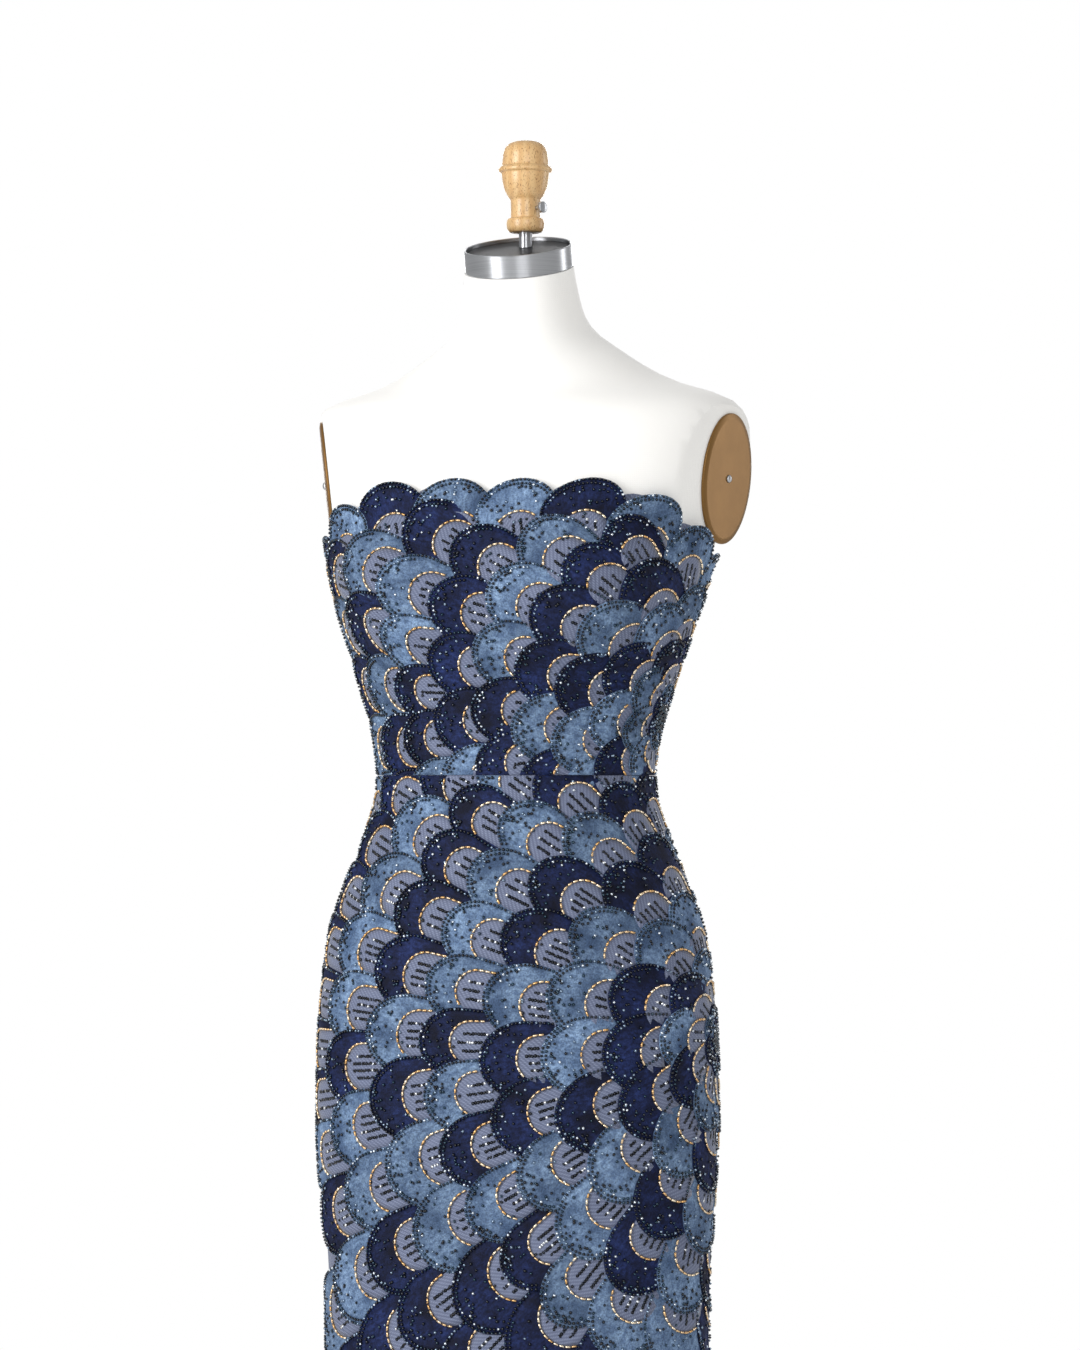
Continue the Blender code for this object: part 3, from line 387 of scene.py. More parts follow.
# Cotton jersey: a fine rib of knitted wales, 0.7 mm apart in truth and drawn at 1.4 mm, on a soft matt cover.
jersey, tree, shader = new_finish(
    "Cotton_jersey_off_white", Roughness=0.9, Sheen_Weight=0.25, Sheen_Roughness=0.5, Specular_IOR_Level=0.2
)
spot = add_node(tree, "ShaderNodeTexCoord").outputs["Object"]
wales = add_node(
    tree, "ShaderNodeTexWave", {"Vector": spot, "Scale": 225.0, "Distortion": 1.2, "Detail": 1.0},
    bands_direction="X",
).outputs["Fac"]
rows = add_node(
    tree, "ShaderNodeTexWave", {"Vector": spot, "Scale": 190.0, "Distortion": 0.8}, bands_direction="Z"
).outputs["Fac"]
knit = add_node(tree, "ShaderNodeMath", {0: wales, 1: rows}, operation="MULTIPLY").outputs[0]
cloud = add_node(tree, "ShaderNodeTexNoise", {"Vector": spot, "Scale": 14.0, "Detail": 4.0}).outputs["Fac"]
tint = add_node(
    tree, "ShaderNodeMix", {0: cloud, 6: colour("#F6F4F0"), 7: colour("#FCFBF8")}, data_type="RGBA"
).outputs[2]
bump = add_node(
    tree, "ShaderNodeBump", {"Height": knit, "Strength": 0.2, "Distance": 0.0003}
).outputs["Normal"]
feed(shader, Base_Color=tint, Normal=bump)


def arm_normal(side):
    """Outward normal of an arm cut: sideways, turned a little forward and down."""
    level = math.cos(ARM_DOWN)
    return Vector((side * math.cos(ARM_FORWARD) * level, -math.sin(ARM_FORWARD) * level, -math.sin(ARM_DOWN)))


neck_normal = Vector((0, -math.sin(NECK_TILT), math.cos(NECK_TILT)))
bm = bmesh.new()
bmesh.ops.create_grid(bm, x_segments=FORM_STATIONS, y_segments=FORM_ROWS, size=0.5)
spots = np.array([v.co for v in bm.verts])
heights = FORM_FOOT + (spots[:, 1] + 0.5) * (0.460 - FORM_FOOT)
placed, _ = on_cloth(spots[:, 0] * 2 * math.pi, heights, -FORM_EASE)
for vert, place in zip(bm.verts, placed):
    vert.co = place
bmesh.ops.remove_doubles(bm, verts=bm.verts, dist=1e-6)
bmesh.ops.holes_fill(bm, edges=[e for e in bm.edges if e.is_boundary], sides=0)
bmesh.ops.recalc_face_normals(bm, faces=bm.faces)
cuts = [(Vector((side * ARM_POINT.x, ARM_POINT.y, ARM_POINT.z)), arm_normal(side)) for side in (-1, 1)]
for point, normal in [*cuts, (NECK_SEAT, neck_normal)]:
    cut = bmesh.ops.bisect_plane(
        bm, geom=bm.verts[:] + bm.edges[:] + bm.faces[:], dist=1e-6, plane_co=point, plane_no=normal,
        clear_outer=True,
    )
    rim = [item for item in cut["geom_cut"] if isinstance(item, bmesh.types.BMEdge)]
    bmesh.ops.contextual_create(bm, geom=rim)
bmesh.ops.dissolve_degenerate(bm, dist=2e-5, edges=bm.edges)
bmesh.ops.recalc_face_normals(bm, faces=bm.faces)
put("form_torso_cover", bm, [jersey], "form_torso")

# Arm plates.
# Oval plates, pressed with a rounded rim and painted satin golden brown, that cover the arm cuts.
# One screw through the middle of each holds it to the form.
ARM_HALF_HEIGHT = 58 * MM
ARM_HALF_WIDTH = 41 * MM
ARM_THICK = 3 * MM

# Satin bronze-brown enamel on steel: smooth, with a soft highlight and a little mottle from the spray.
arm_bronze, tree, shader = new_finish("Steel_enamelled_satin_golden_brown", Metallic=0.6, Roughness=0.38)
spot = add_node(tree, "ShaderNodeTexCoord").outputs["Object"]
mottle = add_node(tree, "ShaderNodeTexNoise", {"Vector": spot, "Scale": 46.0, "Detail": 5.0}).outputs["Fac"]
peel = add_node(tree, "ShaderNodeTexNoise", {"Vector": spot, "Scale": 700.0, "Detail": 2.0}).outputs["Fac"]
tint = add_node(
    tree, "ShaderNodeMix", {0: mottle, 6: colour("#7A5829"), 7: colour("#906A38")}, data_type="RGBA"
).outputs[2]
bump = add_node(
    tree, "ShaderNodeBump", {"Height": peel, "Strength": 0.15, "Distance": 0.0002}
).outputs["Normal"]
feed(shader, Base_Color=tint, Normal=bump)


def facing(point, normal, upward=Vector((0, 0, 1))):
    """Frame at a point whose Z is the normal and whose Y is as near upward as it can be."""
    z = Vector(normal).normalized()
    x = upward.cross(z).normalized()
    y = z.cross(x)
    return Matrix.Translation(point) @ Matrix((x, y, z)).transposed().to_4x4()


for side, name in ((1, "left"), (-1, "right")):
    normal = arm_normal(side)
    centre = Vector((side * ARM_POINT.x, ARM_POINT.y, ARM_POINT.z))
    bm = bmesh.new()
    bmesh.ops.create_circle(bm, cap_ends=True, segments=72, radius=1)
    bmesh.ops.scale(bm, vec=(ARM_HALF_WIDTH, ARM_HALF_HEIGHT, 1), verts=bm.verts)
    grown = bmesh.ops.extrude_face_region(bm, geom=bm.faces[:])
    top = [v for v in grown["geom"] if isinstance(v, bmesh.types.BMVert)]
    bmesh.ops.translate(bm, verts=top, vec=(0, 0, 0.6 * ARM_THICK))
    face = [f for f in bm.faces if all(v in top for v in f.verts)]
    bmesh.ops.inset_region(bm, faces=face, thickness=5 * MM, depth=0.4 * ARM_THICK)
    bmesh.ops.recalc_face_normals(bm, faces=bm.faces)
    rims = [e for e in bm.edges if len(e.link_faces) == 2 and e.calc_face_angle(0) > math.radians(12)]
    rims = [e for e in rims if min(v.co.z for v in e.verts) > 0.5 * MM and len(e.link_faces[0].verts) != 3]
    rims = [e for e in rims if abs(e.verts[0].co.z - e.verts[1].co.z) < 0.01 * MM]
    bmesh.ops.bevel(bm, geom=rims, offset=0.7 * MM, affect="EDGES", segments=3, profile=0.5, material=-1)
    bmesh.ops.transform(bm, matrix=facing(centre + normal * FIT_GAP, normal), verts=bm.verts)
    put(f"arm_plate_{name}_oval", bm, [arm_bronze], f"arm_plate_{name}")

    head = [(0, 2.2), (1.0, 2.15), (1.8, 1.95), (2.6, 1.5), (3.1, 0.95), (3.5, 0.3), (3.5, 0), (0, 0)]
    seat = facing(centre + normal * (2 * FIT_GAP + ARM_THICK), normal)
    bm = spun([(r * MM, h * MM) for r, h in head], 32, seat)
    put(f"arm_screw_{name}_head", bm, [steel], f"arm_screw_{name}")

# Neck ring, plate and post.
# A rolled band of brushed stainless steel round the top of the neck, a dark plate sunk in it, and a steel
# post that carries the finial.
RING_RADIUS = 48.5 * MM
RING_WALL = 2.0 * MM
RING_HEIGHT = 20 * MM
PLATE_DEPTH = 3 * MM
POST_RADIUS = 6 * MM
KNOB_FOOT = WAIST + 0.4845
neck_steel = brushed_steel_finish("Stainless_steel_band_brushed_round", -17)
tilt = facing(NECK_SEAT + neck_normal * FIT_GAP, neck_normal, Vector((0, 1, 0)))
inner, edge = RING_RADIUS - RING_WALL, 0.5 * MM
band = [(inner, RING_HEIGHT - edge), (inner + edge, RING_HEIGHT), (RING_RADIUS - edge, RING_HEIGHT)]
band += [(RING_RADIUS, RING_HEIGHT - edge), (RING_RADIUS, edge), (RING_RADIUS - edge, 0), (inner + edge, 0)]
band += [(inner, edge), (inner, RING_HEIGHT - edge)]
put("neck_ring_band", spun(band, 128, tilt), [neck_steel], "neck_ring")

# Steel plate blackened and oiled: near black with faint turning marks, drawn 1.2 mm apart.
blackened, tree, shader = new_finish("Steel_plate_blackened", Metallic=0.8, Roughness=0.4)
spot = add_node(tree, "ShaderNodeTexCoord").outputs["Object"]
marks = add_node(tree, "ShaderNodeTexNoise", {"Vector": spot, "Scale": 260.0, "Detail": 3.0}).outputs["Fac"]
tint = add_node(
    tree, "ShaderNodeMix", {0: marks, 6: colour("#1C1D20"), 7: colour("#33353A")}, data_type="RGBA"
).outputs[2]
bump = add_node(
    tree, "ShaderNodeBump", {"Height": marks, "Strength": 0.2, "Distance": 0.0002}
).outputs["Normal"]
feed(shader, Base_Color=tint, Normal=bump)
top, reach = RING_HEIGHT - PLATE_DEPTH, inner - FIT_GAP
disc = [(0, top), (reach - edge, top), (reach, top - edge), (reach, 0), (0, 0)]
put("neck_plate_disc", spun(disc, 96, tilt), [blackened], "neck_plate")

seat = NECK_SEAT + neck_normal * (FIT_GAP * 2 + top)
axis = Vector((seat.x + 3 * MM, seat.y + 14 * MM, KNOB_FOOT))
post_top = axis.z - FIT_GAP
bm = spun([(0, post_top), (POST_RADIUS, post_top), (POST_RADIUS, post_top - 0.06), (0, post_top - 0.06)], 48)
bmesh.ops.translate(bm, verts=bm.verts, vec=(axis.x, axis.y, 0))
cut = bmesh.ops.bisect_plane(
    bm, geom=bm.verts[:] + bm.edges[:] + bm.faces[:], dist=1e-6, plane_co=seat, plane_no=-neck_normal,
    clear_outer=True,
)
bmesh.ops.contextual_create(
    bm, geom=[item for item in cut["geom_cut"] if isinstance(item, bmesh.types.BMEdge)]
)
bmesh.ops.recalc_face_normals(bm, faces=bm.faces)
put("finial_post_rod", bm, [steel], "finial_post")

# Finial knob.
# Turned from a block of beech with its grain upright, sanded and given a clear satin lacquer.
# It sits on the post and a thumb screw through its neck holds it.
beech, tree, shader = new_finish(
    "Beech_turned_and_lacquered", Roughness=0.38, Coat_Weight=0.35, Coat_Roughness=0.22,
    Specular_IOR_Level=0.45,
)
spot = add_node(tree, "ShaderNodeTexCoord").outputs["Object"]
# Growth rings about 3 mm apart, and the short dark flecks of beech, which stand upright.
centred = add_node(
    tree, "ShaderNodeMapping", {"Vector": spot, "Location": (0.031, -0.008, 0), "Scale": (1, 1, 0.08)}
).outputs["Vector"]
growth = add_node(
    tree, "ShaderNodeTexWave",
    {"Vector": centred, "Scale": 38.0, "Distortion": 7.0, "Detail": 3.0, "Detail Scale": 1.6},
    wave_type="RINGS", rings_direction="Z",
).outputs["Fac"]
stretched = add_node(
    tree, "ShaderNodeMapping", {"Vector": spot, "Scale": (1100, 1100, 420)}
).outputs["Vector"]
fleck = add_node(
    tree, "ShaderNodeTexNoise", {"Vector": stretched, "Scale": 1.0, "Detail": 2.0}
).outputs["Fac"]
dark = add_node(
    tree, "ShaderNodeMapRange", {"Value": fleck, "From Min": 0.56, "From Max": 0.7}
).outputs["Result"]
wood = add_node(
    tree, "ShaderNodeMix", {0: growth, 6: colour("#D4AA74"), 7: colour("#DDB883")}, data_type="RGBA"
).outputs[2]
flecked = add_node(
    tree, "ShaderNodeMix", {0: dark, 6: wood, 7: colour("#8E6238")}, data_type="RGBA"
).outputs[2]
bump = add_node(
    tree, "ShaderNodeBump", {"Height": fleck, "Strength": 0.12, "Distance": 0.0003}
).outputs["Normal"]
feed(shader, Base_Color=flecked, Normal=bump)

crown = [(0, 82), (8, 81.6), (13.6, 80), (17.6, 76.6), (19.6, 72), (20.5, 66), (21.0, 61), (21.4, 59.3)]
ring = [(22.6, 58.6), (23.9, 57.0), (24.2, 55.6), (23.7, 54.2), (22.2, 53.4), (21.5, 52.6)]
bowl = [(21.1, 49), (20.1, 43), (18.3, 37), (15.8, 32.2), (13.9, 29.8), (13.3, 27.6)]
foot = [
    (13.1, 20), (13.3, 13.6), (13.9, 12.7), (15.7, 12.1), (16.8, 10.2), (17.0, 7), (16.5, 3.4), (14.8, 0.8),
    (13.4, 0),
]
knob = [*eased([*crown, *ring, *bowl, *foot], 3), (0, 0)]
bm = spun([(r * MM, h * MM) for r, h in knob], 72, Matrix.Translation(axis))
put("finial_knob_turned", bm, [beech], "finial_knob")

# Thumb screw.
# A small steel screw with a milled round head, tightened by hand into the knob's neck.
# It is turned bright and left bare.
way = math.radians(62)
out = Vector((math.sin(way), -math.cos(way), 0))
grip = facing(axis + Vector((0, 0, 21 * MM)) + out * (14.3 * MM + FIT_GAP), out)
head = [
    (0, 8.2), (3.4, 8.2), (4.4, 7.8), (5.0, 7.2), (5.0, 4.2), (4.6, 3.6), (3.8, 3.4), (2.1, 3.3), (1.9, 3.1)
]
bm = spun([(r * MM, h * MM) for r, h in [*head, (1.9, -1.2), (0, -1.2)]], 40, grip)
put("thumb_screw_milled", bm, [steel], "thumb_screw")

# Cloth panels of the gown.
# Grey-lavender tulle mounted on a navy satin lining, cut in six: front and two backs above the waist seam and
# below it. The panels hang on the form, closed by side seams and a zip at the centre back.
SEAM_GAP = 0.32 * MM
ZIP_TOP = 0.164
ZIP_FOOT = -0.200
ZIP_WIDTH = 6.0 * MM
ZIP_GAP = 0.35 * MM
NECKLINE_TURN = np.radians([0, 25, 45, 66, 90, 105, 130, 180])
NECKLINE_TIP = np.array([254, 257, 252, 230, 203, 193, 183, 178]) * MM
SCALLOPS = 16
SCALLOP_SHIFT = math.radians(-2.8125)
SCALLOP_CAP = 27 * MM
SCALLOP_SHARE = 0.87
EDGE_SINK = 3 * MM
PANEL_LIFT = 1.4 * MM
PANEL_THICK = 1.1 * MM
PANEL_STEP = math.radians(2.8125)
PANEL_ROWS = {True: 22, False: 76}

# Tulle over satin: a fine net whose threads, about 1 mm apart in truth, are drawn as ribs 1.5 mm apart.
tulle, tree, shader = new_finish(
    "Tulle_grey_lavender_over_satin", Roughness=0.62, Sheen_Weight=0.35, Sheen_Roughness=0.4,
    Specular_IOR_Level=0.3,
)
weft = add_node(tree, "ShaderNodeAttribute", attribute_name="weave").outputs["Vector"]
threads = add_node(
    tree, "ShaderNodeTexWave", {"Vector": weft, "Scale": 210.0, "Distortion": 1.5, "Detail": 1.0},
    bands_direction="X",
).outputs["Fac"]
picks = add_node(
    tree, "ShaderNodeTexWave", {"Vector": weft, "Scale": 150.0, "Distortion": 1.0}, bands_direction="DIAGONAL"
).outputs["Fac"]
net = add_node(tree, "ShaderNodeMath", {0: threads, 1: picks}, operation="MULTIPLY").outputs[0]
shot = add_node(tree, "ShaderNodeTexNoise", {"Vector": weft, "Scale": 24.0, "Detail": 3.0}).outputs["Fac"]
under = add_node(
    tree, "ShaderNodeMix", {0: shot, 6: colour("#4C546C"), 7: colour("#68708A")}, data_type="RGBA"
).outputs[2]
over = add_node(tree, "ShaderNodeMix", {0: net, 6: under, 7: colour("#858EA8")}, data_type="RGBA").outputs[2]
bump = add_node(
    tree, "ShaderNodeBump", {"Height": net, "Strength": 0.3, "Distance": 0.0003}
).outputs["Normal"]
feed(shader, Base_Color=over, Normal=bump)

# Polyester satin: long floats on its face stretch the highlight one way; a shade of navy inside the gown.
satin, tree, shader = new_finish("Satin_lining_navy", Roughness=0.32, Anisotropic=0.6, Specular_IOR_Level=0.5)
weft = add_node(tree, "ShaderNodeAttribute", attribute_name="weave").outputs["Vector"]
floats = add_node(tree, "ShaderNodeMapping", {"Vector": weft, "Scale": (420, 60, 1)}).outputs["Vector"]
slub = add_node(tree, "ShaderNodeTexNoise", {"Vector": floats, "Scale": 1.0, "Detail": 3.0}).outputs["Fac"]
tint = add_node(
    tree, "ShaderNodeMix", {0: slub, 6: colour("#121A3E"), 7: colour("#1E2A5C")}, data_type="RGBA"
).outputs[2]
bump = add_node(
    tree, "ShaderNodeBump", {"Height": slub, "Strength": 0.15, "Distance": 0.0002}
).outputs["Normal"]
feed(shader, Base_Color=tint, Normal=bump)


def neck_height(turn):
    """Height of the line through the scallop tips."""
    turn = (turn + math.pi) % (2 * math.pi) - math.pi
    return np.interp(np.abs(turn), NECKLINE_TURN, NECKLINE_TIP)


def top_edge(turn):
    """The scalloped top edge: a row of round petal tips on the neckline."""
    away = (((turn - SCALLOP_SHIFT) / (2 * math.pi / SCALLOPS)) % 1 - 0.5) * 2
    return neck_height(turn) - SCALLOP_CAP * (1 - np.sqrt(1 - (SCALLOP_SHARE * away) ** 2))


def centre_gap(height):
    """Half the gap at the centre back, where the zip lies above its foot and a seam below it."""
    open_by = ZIP_WIDTH / 2 + ZIP_GAP
    return np.interp(height, [ZIP_FOOT - 30 * MM, ZIP_FOOT - 1 * MM], [SEAM_GAP / 2, open_by])


Panel = namedtuple("Panel", "name first last bodice")
PANELS = [
    Panel("bodice_front", -math.pi / 2, math.pi / 2, True),
    Panel("bodice_back_left", math.pi / 2, math.pi, True),
    Panel("bodice_back_right", math.pi, 3 * math.pi / 2, True),
    Panel("skirt_front", -math.pi / 2, math.pi / 2, False),
    Panel("skirt_back_left", math.pi / 2, math.pi, False),
    Panel("skirt_back_right", math.pi, 3 * math.pi / 2, False),
]


def edge_gap(turn, height):
    """Half the gap at a panel's edge on that turn."""
    return centre_gap(height) if abs(turn - math.pi) < 0.01 else np.full_like(height, SEAM_GAP / 2)


def thicken(sheet, thickness, inner_finish=0):
    """Gives a sheet its thickness, inwards; inner_finish counts from the outer face's material."""
    made = sheet.modifiers.new("Thickness", "SOLIDIFY")
    made.thickness = thickness
    made.offset = -1
    made.material_offset = inner_finish


walls = {}
for panel in PANELS:
    bm = bmesh.new()
    columns = round((panel.last - panel.first) / PANEL_STEP)
    bmesh.ops.create_grid(bm, x_segments=columns, y_segments=PANEL_ROWS[panel.bodice], size=0.5)
    spots = np.array([v.co for v in bm.verts]) + 0.5
    plain_turn = panel.first + spots[:, 0] * (panel.last - panel.first)
    low = np.full(len(spots), SEAM_GAP / 2 if panel.bodice else HEM)
    high = top_edge(plain_turn) - EDGE_SINK if panel.bodice else np.full(len(spots), -SEAM_GAP / 2)
    heights = low + spots[:, 1] * (high - low)
    radius = girth_radius(heights)
    start = panel.first + edge_gap(panel.first, heights) / radius
    stop = panel.last - edge_gap(panel.last, heights) / radius
    turns = np.clip(plain_turn, start, stop)
    placed, _ = on_cloth(turns, heights, PANEL_LIFT)
    weave = bm.verts.layers.float_vector.new("weave")
    for vert, place, turn, height, r in zip(bm.verts, placed, turns, heights, radius):
        vert.co = place
        vert[weave] = (turn * r, height, 0)
    bmesh.ops.recalc_face_normals(bm, faces=bm.faces)
    middle = bm.faces[:][len(bm.faces) // 2]
    outward = on_cloth(np.array([turns.mean()]), np.array([heights.mean()]), 0.0)[1][0]
    if middle.normal.dot(Vector(outward)) < 0:
        bmesh.ops.reverse_faces(bm, faces=bm.faces)
    area = sum(f.calc_area() for f in bm.faces)
    runs = placed[np.lexsort(np.round(spots, 6)[:, :2].T)].reshape(-1, columns + 1, 3)
    widest = float(np.linalg.norm(np.diff(runs, axis=1), axis=2).sum(axis=1).max())
    tallest = float(np.linalg.norm(np.diff(runs, axis=0), axis=2).sum(axis=0).max())
    wall = put(f"{panel.name}_cloth", bm, [tulle, satin], panel.name)
    thicken(wall, PANEL_THICK, 1)
    walls[panel.name] = (wall, (widest, tallest), area)

# Velvet petals.
# Panne velvet in navy and dusty blue, cut as long round-ended petals and sewn on in rings that fan out from
# two points on the left side seam. Each petal's tip lies over the petals of the next ring out.
Fan = namedtuple("Fan", "height first step low high reach")
BODICE_FAN = Fan(52 * MM, 30 * MM, 43 * MM, -40 * MM, 260 * MM, 0.62)
SKIRT_FAN = Fan(-232 * MM, 32 * MM, 50 * MM, -1075 * MM, 50 * MM, 0.98)
FAN_TURN = math.radians(90)
FAN_GIRTH = 0.150
RING_GROWTH = 24 * MM
RING_SPAN = 0.85
RING_POWER = 1.3
RING_EASE = 3
PAST_SEAM = 0.1
WAY_STEPS = 1441
SPACING_HEIGHT = np.array([-1062, -560, -230, 0, 200]) * MM
SPACING_WIDTH = np.array([114, 71, 57, 50, 54]) * MM
BURST_SHARE = 0.22
BURST_REACH = 115 * MM
ORDER_STEP = 1e-5
NECK_ORDER = 2.0
NECK_LEAN = 0.25
NECK_OVERLAP = 1.15
NECK_LENGTH = 115 * MM
NECK_ROOM = 22 * MM
EDGE_CLEAR = 2.5 * MM
PETAL_OVERLAP = 1.14
PETAL_LENGTH = 2.9
PETAL_ROOT = 0.34
PETAL_LOW = 1.6 * MM
PETAL_RISE = 2.8 * MM
PETAL_CANT = 0.12 * MM
PETAL_THICK = 0.5 * MM
CAP_ROWS = 7
SIDE_ROWS = 12
TIP_SHARE = 0.60
NAVY_SHARE = 0.48
CONTRAST = 0.75
LONGEST_REACH = 0.30
HIDING_MARGIN = 2.5 * MM
TOUCHING = 0.01 * MM
Petal = namedtuple("Petal", "turn height lean width length cap order")
dice = np.random.default_rng(11)


def ring_places(inner, total, length):
    """Where the petals of a ring stand, counted in petal widths along it: in line with those of the ring
    inside it, with new ones in the widest gaps and their neighbours eased apart."""
    places = np.sort(inner) if len(inner) else np.arange(total) * length / total
    while len(places) != total:
        gaps = np.diff(np.append(places, places[0] + length))
        if len(places) < total:
            wide = int(np.argmax(gaps))
            places = np.insert(places, wide + 1, places[wide] + gaps[wide] / 2)
        else:
            places = np.delete(places, int(np.argmin(gaps)))
        for _ in range(RING_EASE):
            before = np.append(places[-1] - length, places[:-1])
            after = np.append(places[1:], places[0] + length)
            places = 0.5 * places + 0.25 * (before + after)
    gaps = np.diff(np.append(places, places[0] + length))
    return places % length, (gaps + np.roll(gaps, 1)) / 2


def fan_petals(fan):
    """Rings of petals round a fan's centre, spaced along each ring by the width of a petal there."""
    petals = []
    reach, inner = fan.first, []
    way = np.linspace(-math.pi, math.pi, WAY_STEPS)
    while reach < fan.reach:
        turn = FAN_TURN - reach * np.cos(way) / FAN_GIRTH
        height = fan.height + reach * np.sin(way)
        radius = girth_radius(height)
        near = min(1.0, BURST_SHARE + reach / BURST_REACH)
        spacing = near * np.interp(height, SPACING_HEIGHT, SPACING_WIDTH)
        run = np.hypot(np.diff(turn) * (radius[1:] + radius[:-1]) / 2, np.diff(height))
        count = np.concatenate([[0], np.cumsum(run * 2 / (spacing[1:] + spacing[:-1]))])
        step = fan.step + RING_GROWTH * (reach / RING_SPAN) ** RING_POWER
        places, shares = ring_places(np.interp(inner, way, count), round(count[-1]), count[-1])
        inner = np.interp(places, count, way)
        for here, share in zip(inner.tolist(), shares.tolist()):
            t = FAN_TURN - reach * math.cos(here) / FAN_GIRTH
            h = fan.height + reach * math.sin(here)
            if abs(t - FAN_TURN) > math.pi + PAST_SEAM or not fan.low < h < fan.high:
                continue
            out_round = FAN_GIRTH**2 * (t - FAN_TURN) / (reach * float(girth_radius(h)))
            lean = math.atan2(out_round, math.sin(here))
            length = PETAL_LENGTH * step / math.hypot(out_round, math.sin(here))
            width = PETAL_OVERLAP * share * near * float(np.interp(h, SPACING_HEIGHT, SPACING_WIDTH))
            order = reach + ORDER_STEP * len(petals)
            petals.append(Petal(t, h, lean, width, min(length, reach + 1.2 * step), TIP_SHARE * width, order))
        reach += step
    return petals


def neckline_petals():
    """The outermost row on the bodice, whose tips are the scallops of the top edge."""
    petals = []
    share = 2 * math.pi / SCALLOPS
    for n in range(SCALLOPS):
        turn = (n - SCALLOPS // 4 + 0.5) * share + SCALLOP_SHIFT
        height = float(neck_height(turn))
        lean = NECK_LEAN * math.atan2(FAN_GIRTH * (turn - FAN_TURN), height - BODICE_FAN.height)
        width = NECK_OVERLAP * share * float(girth_radius(height))
        petals.append(Petal(turn, height, lean, width, NECK_LENGTH, SCALLOP_CAP, NECK_ORDER + ORDER_STEP * n))
    return petals


def table_of(petals):
    """The same petals as one record of arrays, to ask about all of them at once."""
    return Petal(*(np.array(column) for column in zip(*petals)))


def petal_half_width(petal, along):
    """Half width of a petal: a round cap at the tip, then sides that draw in towards the root."""
    cap = np.clip(1 - along / petal.cap, 0, 1)
    draw = np.clip((along - petal.cap) / (petal.length - petal.cap), 0, 1) ** 1.4
    return 0.5 * petal.width * np.sqrt(1 - cap**2) * (1 - (1 - PETAL_ROOT) * draw)


def petal_lift(petal, across, along):
    """Height of a petal over the figure: highest at its tip, and a little higher along one side."""
    half = np.maximum(petal_half_width(petal, along), 1 * MM)
    return PETAL_LOW + PETAL_RISE * (1 - along / petal.length) + PETAL_CANT * np.clip(across / half, -1, 1)


def on_figure(petal, across, along):
    """Turn and height of a point given across and along a petal."""
    height = petal.height - along * math.cos(petal.lean) - across * math.sin(petal.lean)
    s = across * math.cos(petal.lean) - along * math.sin(petal.lean)
    turn = petal.turn + s / girth_radius(height)
    if petal.order < NECK_ORDER and petal.height > 0:
        height = np.minimum(height, np.maximum(top_edge(turn) - EDGE_CLEAR, petal.height - 60 * MM))
    return turn, height


def hidden(near, turn, height, lift, margin):
    """Whether points lie under one of the petals near them, further inside its outline than the margin."""
    s = (turn[:, None] - near.turn) * girth_radius(height)[:, None]
    m = height[:, None] - near.height
    across = s * np.cos(near.lean) - m * np.sin(near.lean)
    along = -(s * np.sin(near.lean) + m * np.cos(near.lean))
    inside = np.abs(across) < petal_half_width(near, along) - margin
    inside &= (along > margin) & (along < near.length)
    return (inside & (petal_lift(near, across, along) > lift[:, None] + TOUCHING)).any(axis=1)


def neighbours(table, n):
    """The other petals that can reach over petal n."""
    aside = (table.turn - table.turn[n]) * girth_radius(table.height[n])
    far = np.hypot(aside, table.height - table.height[n])
    close = far < LONGEST_REACH + 0.3 * table.width[n]
    close[n] = False
    return Petal(*(column[close] for column in table))


bodice = fan_petals(BODICE_FAN)
bodice = [p for p in bodice if p.height < neck_height(p.turn) - NECK_ROOM] + neckline_petals()
layouts = {True: bodice, False: fan_petals(SKIRT_FAN)}
tables = {key: table_of(petals) for key, petals in layouts.items()}
near_of = {key: [neighbours(tables[key], n) for n in range(len(petals))] for key, petals in layouts.items()}

# A petal's colour is drawn by lot, and most often differs from its neighbours that are already cut.
navy_petals = {}
for key, table in tables.items():
    dark = np.zeros(len(table.turn), bool)
    for n in range(len(dark)):
        around = (table.turn[:n] - table.turn[n]) * girth_radius(table.height[n])
        near = np.argsort(np.hypot(around, table.height[:n] - table.height[n]))[:3]
        likeness = dark[near].mean() if n else 0.5
        dark[n] = dice.random() < NAVY_SHARE + CONTRAST * (0.5 - likeness)
    navy_petals[key] = dark


